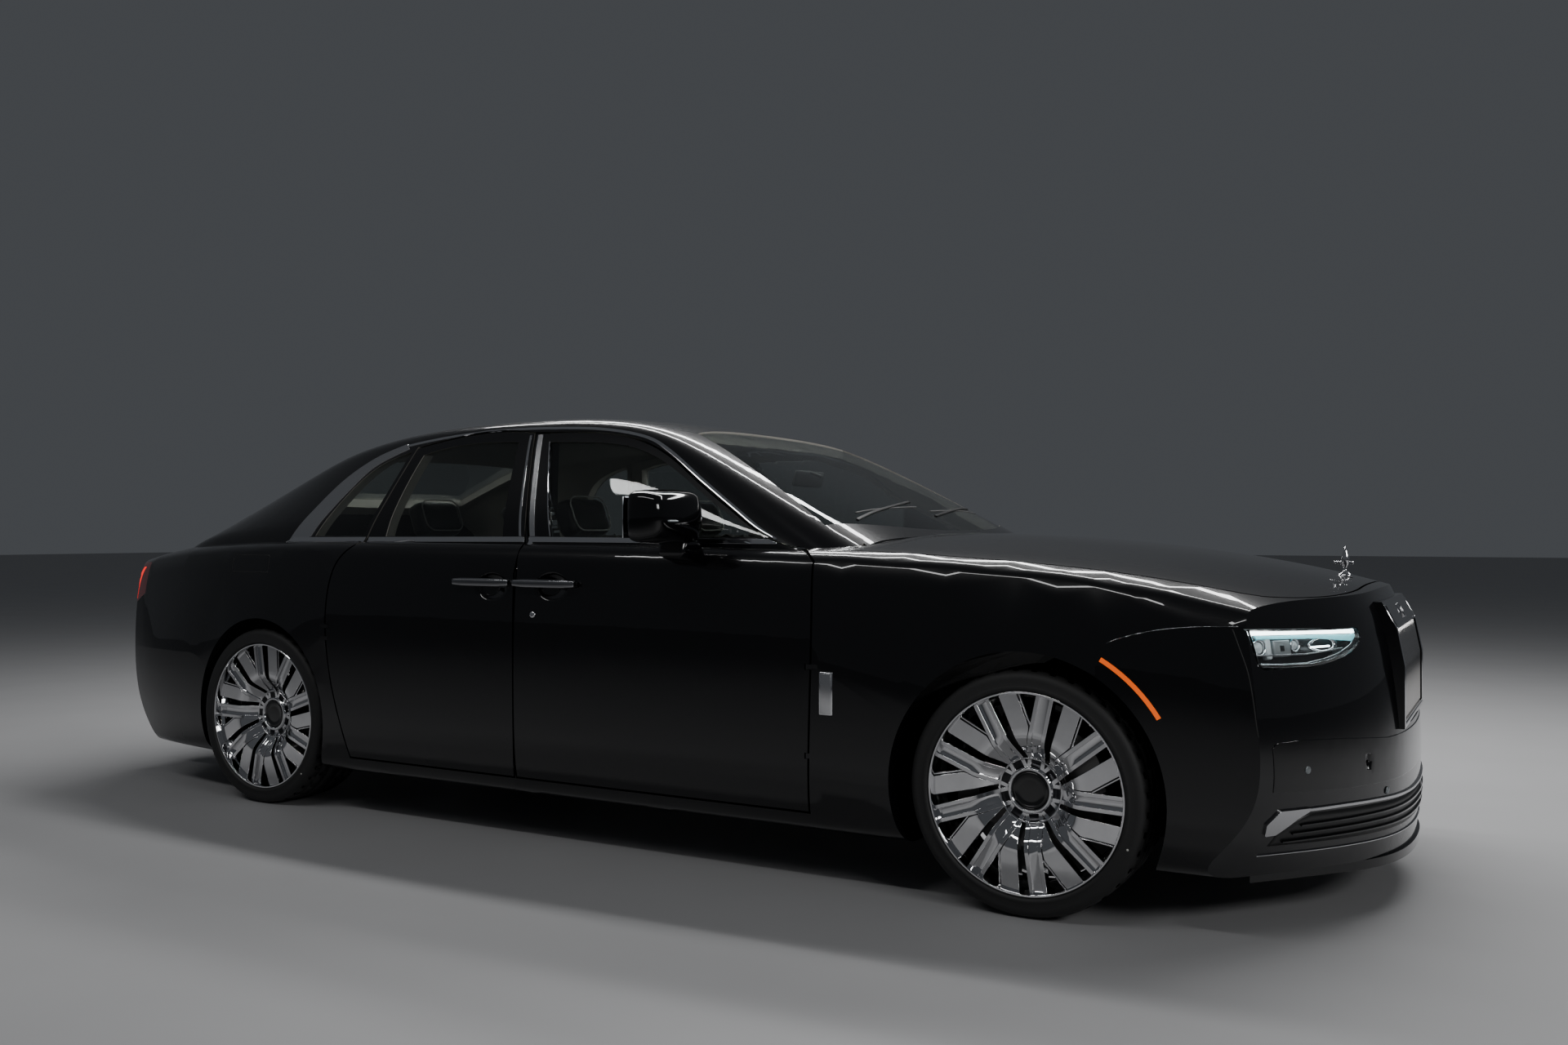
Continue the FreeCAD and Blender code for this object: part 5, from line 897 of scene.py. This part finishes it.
dished(door_paint, [(-0.195, 0.924), (0.086, 0.93)], 0.035)
mirror_silver = finish("mirror_silver", (0.72, 0.74, 0.76), (0.8, 0.82, 0.84), 0.02, metal=1, scale=20)
for side, sign in SIDES:
    door = "door_front_%s_body" % side
    low, high = [Vector(c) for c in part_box("mirror_" + side)]
    inner, outer = (low.y, high.y) if sign > 0 else (high.y, low.y)
    head_inner = inner + sign * 0.035
    middle = Vector(((low.x + high.x) / 2, (head_inner + outer) / 2 + sign * 0.004,
                     (MIRROR_HEAD_Z + high.z) / 2 + 0.004))
    size = Vector(((high.x - low.x) * 1.24, abs(outer - head_inner) * 1.08, (high.z - MIRROR_HEAD_Z) * 1.18))
    work = bmesh.new()
    bmesh.ops.create_cube(work, size=1)
    bmesh.ops.subdivide_edges(work, edges=list(work.edges), cuts=3, use_grid_fill=True)
    for vertex in work.verts:
        a, b, c = [2 * v for v in vertex.co]
        outward = (b * sign + 1) / 2
        depth = (1 - 0.3 * outward ** 2) * (1 if a < 0 else 1 - 0.18 * c * c)
        width = 1 - 0.1 * (a * a + c * c) * 0.5
        height = 1 - 0.16 * outward ** 2 - (0.14 if a > 0 else 0) * abs(a)
        vertex.co = middle + Vector((a * 0.5 * size.x * depth, b * 0.5 * size.y * width,
                                     c * 0.5 * size.z * height + 0.004 * outward))
    head = softened(finished("mirror_head_" + side, work, gloss_black, door), 2)
    foot_place = at(middle.x - 0.005, inner + sign * 0.04, MIRROR_FOOT_Z) @ spun(sign * 16, "X")
    finished("mirror_foot_" + side, block((0.105, 0.12, 0.078), foot_place, 0.018, 5), gloss_black, door)
    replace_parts(head, "mirror_" + side)
    across = middle.y - sign * 0.004
    glass_place = at(middle.x - size.x * 0.485, across, middle.z)
    lamp_place = at(middle.x + size.x * 0.4, across, middle.z - 0.012)
    badge = seat_on(shell_skin, side, 1.1915, 0.6195, 0.001)
    for label, work, material, body, slot in (
            ("mirror_glass_", block((0.004, size.y * 0.8, size.z * 0.72), glass_place, 0.0018), mirror_silver,
             door, None),
            ("mirror_side_lamp_", block((0.012, size.y * 0.62, 0.006), lamp_place), frosted, door, None),
            ("key_barrel_", ringed(BARREL, seat_on(door_skins["front", side], side, 0.006, 0.829, 0)), chrome,
             door, BRIGHT),
            ("fender_badge_frame_", block((0.047, 0.135, 0.006), badge, 0.0028, 3), chrome, "body", BRIGHT),
            ("fender_badge_blank_", block((0.038, 0.126, 0.0075), badge, 0.0015), satin_chrome, "body", None)):
        finished(label + side, work, material, body)

# Seams and small outside fittings: the fuel flap, the sunroof, the finial and the wipers.
# The flap is cut in the rear fender; the roof panel is dark glass; the wiper arms park at the cowl.
SEAM_HALF = 0.0014
FLAP = [(-1.673, 0.957), (-1.431, 0.957), (-1.431, 1.027), (-1.673, 1.027)]
for index, (a, b) in enumerate(zip(FLAP, FLAP[1:] + FLAP[:1])):
    dx, dz = (0, SEAM_HALF) if a[1] == b[1] else (SEAM_HALF, 0)
    low, high = [[(p[0] + off * dx, p[1] + off * dz) for p in (a, b)] for off in (-1, 1)]
    laid_patch("fuel_flap_seam_%d" % index, low, high, "right", shell_skin, rubber, "body", 16, 1, 0.0005,
               0.002, 0)
roof_glass = finish("roof_glass", (0.0015, 0.0018, 0.002), (0.004, 0.0045, 0.005), 0.05, scale=20, coat=1)
laid_patch("roof_panel", *level(-0.62, 0.02, -0.4, 0.4), "top", shell_skin, roof_glass, "body", 40, 30, 0.0012,
           0.003, 0.001, "tinted_glass")
FINIAL = [(0, 0.1), (0.0022, 0.097), (0.0052, 0.084), (0.0095, 0.066), (0.0105, 0.056), (0.0085, 0.044),
          (0.0045, 0.034), (0.0035, 0.026), (0.006, 0.018), (0.013, 0.012), (0.017, 0.009), (0.0185, 0.005),
          (0.0185, -0.004), (0, -0.004)]
low, high = [Vector(c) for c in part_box("hood_ornament")]
middle_x = (low.x + high.x) / 2
finial = [ringed(FINIAL, at(middle_x, 0, low.z + 0.006), (1.25, 0.95), 48),
          block((0.06, 0.006, 0.01), at(middle_x - 0.004, 0, low.z + 0.052), 0.0028, 3)]
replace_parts(finished("hood_finial", finial, chrome, "hood_body"), "hood_ornament")
screen_skin = skin_of("fixed_glass", "body_shell")
for index, (start, end) in enumerate((((1.085, -0.62, 1.1), (0.965, 0.02, 1.135)),
                                      ((1.085, 0.02, 1.1), (0.965, 0.62, 1.135)))):
    x, y, z = [a * 0.5 + b * 0.5 for a, b in zip(start, end)]
    laid_strip("wiper_arm_%d" % index, [start, (x, y, z), end], 0.012, screen_skin, black_trim, 30,
               proud=0.014, sink=0.001, edge=0.002)
    laid_strip("wiper_blade_%d" % index, [(x + 0.02, y - 0.26, z), (x, y, z), (x - 0.02, y + 0.3, z)], 0.007,
               screen_skin, rubber, 30, proud=0.009, sink=0.001)

# Seats: foam pads under dark leather, quilted in diamonds with pale stitching and pale piping.
# Each pad is blown up from a slightly smaller form, so its sides pull in between the corners.
SEAT_Y = 0.43
LEAN = 0.36
BACK_FOOT_Z = 0.5
PAD_VOXEL = 0.0075
CLOTH_STEPS = 20
LEATHER_DARK, LEATHER_LIGHT, THREAD = (0.01, 0.01, 0.011), (0.02, 0.02, 0.021), (0.55, 0.54, 0.52)


def diamonds(name, across, along, pitch, facing=None):
    """Quilted leather: grain, soft diamond cushions and a line of pale thread in each channel.
    With facing given, the quilting stays on the side that faces that way and leaves the flanks plain."""
    material = finish(name, LEATHER_DARK, LEATHER_LIGHT, 0.42, scale=420, sheen=0.15)
    tree, shader = material.node_tree, shader_of(material)
    place = put(tree, "TexCoord").outputs["Object"]
    slopes = [[(p + turn * q) / pitch for p, q in zip(across, along)] for turn in (1, -1)]
    waves = [maths(tree, "PINGPONG", vector_of(tree, "DOT_PRODUCT", place, slope), 0.5) for slope in slopes]
    height = maths(tree, "MINIMUM", *waves)
    stitch = maths(tree, "LESS_THAN", height, 0.022)
    raised = ranged(tree, height, 0, 0.32, 0, 1, "SMOOTHSTEP")
    if facing:
        toward = vector_of(tree, "DOT_PRODUCT", put(tree, "NewGeometry").outputs["Normal"], facing)
        cover = ranged(tree, toward, 0.5, 0.66, 0, 1)
        stitch = maths(tree, "MULTIPLY", stitch, cover)
        raised = maths(tree, "MAXIMUM", raised, maths(tree, "SUBTRACT", 1, cover))
    colours = {"Factor": stitch, "A": shader.inputs["Base Color"].links[0].from_socket, "B": THREAD + (1,)}
    colour = put(tree, "Mix", colours, data_type="RGBA").outputs["Result"]
    feed(tree, shader, {"Base Color": colour, "Normal": relief(tree, raised, 0.8, 0.01)})
    return material


leather = finish("seat_leather", LEATHER_DARK, LEATHER_LIGHT, 0.42, scale=420, bump=0.0006, sheen=0.15)
quilt_upright = diamonds("quilted_upright", (0, 1, 0), (0, 0, 1), 0.085, (1, 0, 0))
quilt_flat = diamonds("quilted_flat", (0, 1, 0), (1, 0, 0), 0.085, (0, 0, 1))
piping = finish("pale_piping", (0.46, 0.45, 0.43), (0.58, 0.57, 0.55), 0.5, scale=300, bump=0.0004)
black_plastic = finish("seat_plastic", (0.008, 0.008, 0.009), (0.014, 0.014, 0.015), 0.5, 0, 350, 0.0004)


def seen(piece):
    """The mesh of a piece with its modifiers."""
    return bpy.data.meshes.new_from_object(piece.evaluated_get(bpy.context.evaluated_depsgraph_get()))


def stuffed(size, round_by, shape, cap):
    """The mesh of one pad: a rounded block, shaped, covered by voxels and blown up as cloth."""
    work = bmesh.new()
    bmesh.ops.create_cube(work, size=1, matrix=Matrix.Diagonal(size + (1,)))
    bmesh.ops.bevel(work, geom=list(work.edges), offset=round_by, segments=4, profile=0.5, material=-1,
                    affect="EDGES")
    bmesh.ops.subdivide_edges(work, edges=[e for e in work.edges if e.calc_length() > 0.08], cuts=9,
                              use_grid_fill=True)
    for vertex in work.verts:
        vertex.co += Vector(shape(*[c / whole * 2 for c, whole in zip(vertex.co, size)]))
    mesh = bpy.data.meshes.new("pad")
    work.to_mesh(mesh)
    work.free()
    pad = bpy.data.objects.new("pad", mesh)
    bpy.context.scene.collection.objects.link(pad)
    cover = pad.modifiers.new("cover", "REMESH")
    cover.mode = "VOXEL"
    cover.voxel_size = PAD_VOXEL
    covered = seen(pad)
    pad.modifiers.clear()
    pad.data = covered
    before = [v.co.copy() for v in covered.vertices]
    cloth = pad.modifiers.new("cloth", "CLOTH").settings
    cloth.quality = 4
    cloth.use_pressure = True
    cloth.uniform_pressure_force = 4
    cloth.effector_weights.gravity = 0
    cloth.tension_stiffness = cloth.compression_stiffness = 12
    cloth.bending_stiffness = 0.6
    for step in range(1, CLOTH_STEPS + 1):
        bpy.context.scene.frame_set(step)
    blown = seen(pad)
    pad.modifiers.clear()
    bpy.context.scene.frame_set(1)
    for vertex, start, end in zip(covered.vertices, before, blown.vertices):
        move = end.co - start
        vertex.co = start + move * min(1, cap / max(move.length, 1e-6))
    bpy.data.objects.remove(pad)
    return covered


def padded_piece(name, pad, matrix, material, finer=1):
    """One pad set in place, its faces divided once more when finer is set."""
    mesh = pad.copy()
    mesh.name = name
    mesh.transform(matrix)
    piece = set_down(name, mesh, material)
    if finer:
        softened(piece, 1)
    return piece


def bead(name, points, radius, matrix):
    """A closed round bead of piping through points, placed by a matrix."""
    curve = bpy.data.curves.new(name, "CURVE")
    curve.dimensions = "3D"
    curve.bevel_depth = radius
    curve.bevel_resolution = 2
    spline = curve.splines.new("NURBS")
    spline.points.add(len(points) - 1)
    for point, place in zip(spline.points, points):
        point.co = tuple(place) + (1,)
    spline.use_cyclic_u = True
    spline.order_u = 3
    spline.resolution_u = 6
    holder = bpy.data.objects.new(name, curve)
    mesh = bpy.data.meshes.new_from_object(holder)
    bpy.data.objects.remove(holder)
    mesh.transform(matrix)
    mesh.name = name
    set_down(name, mesh, piping)


def rounded_loop(half_wide, half_high, corner, x, steps=4):
    """Points round an upright rounded rectangle in the Y-Z plane."""
    points = []
    for turn, (a, b) in enumerate(((1, 1), (-1, 1), (-1, -1), (1, -1))):
        for k in range(steps + 1):
            angle = math.radians(90 * (turn + k / steps))
            points.append((x, a * (half_wide - corner) + corner * math.cos(angle),
                           b * (half_high - corner) + corner * math.sin(angle)))
    return points


def cushion_shape(a, b, c):
    return 0, 0, 0.026 * smooth_rise(abs(b), 0.5, 1) - 0.012 * smooth_rise(a, 0.4, 1) if c > 0 else 0


def back_shape(a, b, c):
    return 0.03 * smooth_rise(abs(b), 0.5, 1) * (1 - smooth_rise(c, 0.2, 1)) if a > 0 else 0, 0, 0


def head_shape(a, b, c):
    return 0.012 * b * b if a > 0 else 0, 0, -0.012 * b * b if c > 0 else 0


cushion_pad = stuffed((0.49, 0.53, 0.11), 0.03, cushion_shape, 0.014)
back_pad = stuffed((0.105, 0.53, 0.61), 0.028, back_shape, 0.013)
head_pad = stuffed((0.085, 0.245, 0.16), 0.034, head_shape, 0.012)
POST = [(0, 0.05), (0.006, 0.05), (0.006, -0.05), (0, -0.05)]
for name, base_x, y, wide, front in (("front_seat_left", 0.07, SEAT_Y, 1, 1),
                                     ("front_seat_right", 0.07, -SEAT_Y, 1, 1),
                                     ("rear_bench_left", -0.86, 0.298, 1.03, 0),
                                     ("rear_bench_right", -0.86, -0.298, 1.03, 0)):
    def on_back(across, up, aside=0):
        """A place on the seat's back, in the car's frame."""
        return at(base_x + 0.03, y + aside, BACK_FOOT_Z) @ Matrix.Rotation(-LEAN, 4, "Y") @ at(across, 0, up)

    stretch = Matrix.Diagonal((1, wide, 1, 1))
    cushion = padded_piece(name + "_cushion", cushion_pad, at(base_x + 0.262, y, 0.486) @ stretch, quilt_flat)
    padded_piece(name + "_back", back_pad, on_back(-0.073, 0.325) @ stretch, quilt_upright)
    padded_piece(name + "_headrest", head_pad, on_back(-0.06, 0.748), leather)
    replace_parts(cushion, name if front else "rear_bench")
    bead(name + "_back_piping", rounded_loop(0.252 * wide, 0.298, 0.055, 0.026), 0.0035,
         on_back(-0.073, 0.325))
    bead(name + "_headrest_piping", rounded_loop(0.112, 0.072, 0.045, 0.052), 0.003, on_back(-0.06, 0.748))
    bead(name + "_cushion_piping", [(b, a, 0) for _, a, b in rounded_loop(0.258 * wide, 0.24, 0.06, 0)],
         0.0035, at(base_x + 0.262, y, 0.522))
    posts = [ringed(POST, on_back(-0.07, 0.655, aside)) for aside in (-0.06, 0.06)]
    plinth = block((0.4, 0.44 if front else 0.56, 0.13), at(base_x + 0.25, y, 0.36), 0.02, 3)
    finished(name + "_headrest_posts", posts, satin_chrome)
    finished(name + "_plinth", plinth, black_plastic)
    if front:
        shell = block((0.018, 0.5, 0.58), on_back(-0.14, 0.315), 0.008, 3)
        finished(name + "_back_shell", shell, black_plastic)
arm_pad = stuffed((0.36, 0.085, 0.075), 0.02, lambda a, b, c: (0, 0, 0), 0.008)
padded_piece("rear_armrest", arm_pad, at(-0.66, 0, 0.64), leather, 0)
padded_piece("console_armrest", arm_pad, at(0.06, 0, 0.672) @ Matrix.Diagonal((0.9, 2, 0.45, 1)), leather,
             0)

# Dashboard, console and wheel: leather over moulded foam with pale stitching, and a gloss fascia.
# Round plated vents, two dark screens and a shift dial are set in the fascia and console.
dash_leather = finish("dash_leather", (0.012, 0.012, 0.013), (0.022, 0.022, 0.023), 0.5, 0, 380, 0.0006)
fascia = finish("fascia_gloss", (0.01, 0.009, 0.008), (0.03, 0.022, 0.016), 0.12, 0, 9, 0, (1, 6, 1), 1)
screen_black = finish("screen_black", (0.004, 0.005, 0.006), (0.008, 0.009, 0.011), 0.08, scale=40, coat=1)
wheel_leather = finish("wheel_leather", LEATHER_DARK, (0.018, 0.018, 0.019), 0.4, scale=420, bump=0.0005)
put_on(dash_leather, "dashboard")
put_on(wheel_leather, "steering_wheel")
dash_skin = skin_of("dashboard")
laid_patches("rear", dash_skin, "body", [
    ("dash_fascia", *level(-0.74, 0.74, 0.8, 0.885), fascia, 60, 4, 0.004, 0.003, 0.003),
    ("dash_stitching", *level(-0.76, 0.76, 0.925, 0.9275), piping, 60, 1, 0.001, 0.002, 0),
    ("centre_screen", *level(-0.15, 0.15, 0.885, 0.975), screen_black, 20, 6, 0.008, 0.002, 0.003),
    ("driver_screen", *level(0.27, 0.59, 0.885, 0.985), screen_black, 20, 6, 0.01, 0.002, 0.003)])
VENT = [(0.034, 0), (0.036, 0.01), (0.041, 0.012), (0.045, 0.009), (0.046, 0), (0.04, -0.004)]
VENT_PLUG = [(0, 0.006), (0.01, 0.006), (0.014, 0.002), (0.03, 0.001), (0.034, -0.003), (0, -0.004)]
DIAL = [(0, 0.02), (0.022, 0.02), (0.026, 0.017), (0.027, 0), (0, 0)]
VENTS_Y = (-0.68, -0.21, 0.21, 0.68)
rings, plugs = [[ringed(outline, seat_on(dash_skin, "rear", y, 0.842, proud)) for y in VENTS_Y]
                for outline, proud in ((VENT, 0.004), (VENT_PLUG, 0.005))]
finished("dash_vent_rings", rings, chrome)
finished("dash_vent_plugs", plugs, black_plastic)
laid_patch("console_panel", *level(0.2, 0.62, -0.085, 0.085), "top", dash_skin, fascia, "body", 20, 8, 0.003,
           0.003, 0.002)
finished("console_dial", ringed(DIAL, seat_on(dash_skin, "top", 0.34, 0, 0.003)), satin_chrome)

# Door cards: leather panels inside the doors, with an armrest, a plated pull and a speaker ring.
# They stop short of the door's edges, so they pass the pillars and the seats as the doors swing.
LOOKS["in_left"] = (Vector((0, 1, 0)), lambda a, b: Vector((a, 0.2, b)))
LOOKS["in_right"] = (Vector((0, -1, 0)), lambda a, b: Vector((a, -0.2, b)))
SPEAKER = [(0, 0.004), (0.06, 0.004), (0.066, 0.007), (0.072, 0.004), (0.072, -0.002), (0, -0.002)]
card_leather = diamonds("door_card_quilt", (1, 0, 0), (0, 0, 1), 0.095)
for side, sign in SIDES:
    for end, near, far, arm_x in (("front", 0.1, 0.98, 0.42), ("rear", -0.8, -0.2, -0.5)):
        tail, look = "_%s_%s" % (end, side), "in_" + side
        body, skin = "door%s_body" % tail, door_skins[end, side]
        laid_patches(look, skin, body, [
            ("door_card", *level(near, far, 0.46, 0.98), leather, 30, 20, 0.006, 0.002, 0.003),
            ("door_card_inset", *level(near + 0.04, far - 0.04, 0.74, 0.94), card_leather, 30, 10, 0.01, 0.002,
             0.003)], tail)
        rest, pull, low = [seat_on(skin, look, *place) for place in (
            (arm_x, 0.69, 0.018), (arm_x + 0.1, 0.79, 0.02), ((near + far) / 2, 0.56, 0.006))]
        finished("door_armrest" + tail, block((0.4, 0.055, 0.045), rest, 0.016, 4), leather, body)
        finished("door_pull" + tail, block((0.13, 0.012, 0.01), pull, 0.004, 3), chrome, body)
        finished("door_speaker" + tail, ringed(SPEAKER, low), satin_chrome, body)
finished("rear_view_mirror", block((0.018, 0.23, 0.062), at(0.585, 0, 1.335) @ spun(12, "Y"), 0.009, 3),
         black_plastic)
finished("rear_view_mirror_stem", block((0.07, 0.018, 0.012), at(0.615, 0, 1.352) @ spun(20, "Y"), 0.004),
         black_plastic)
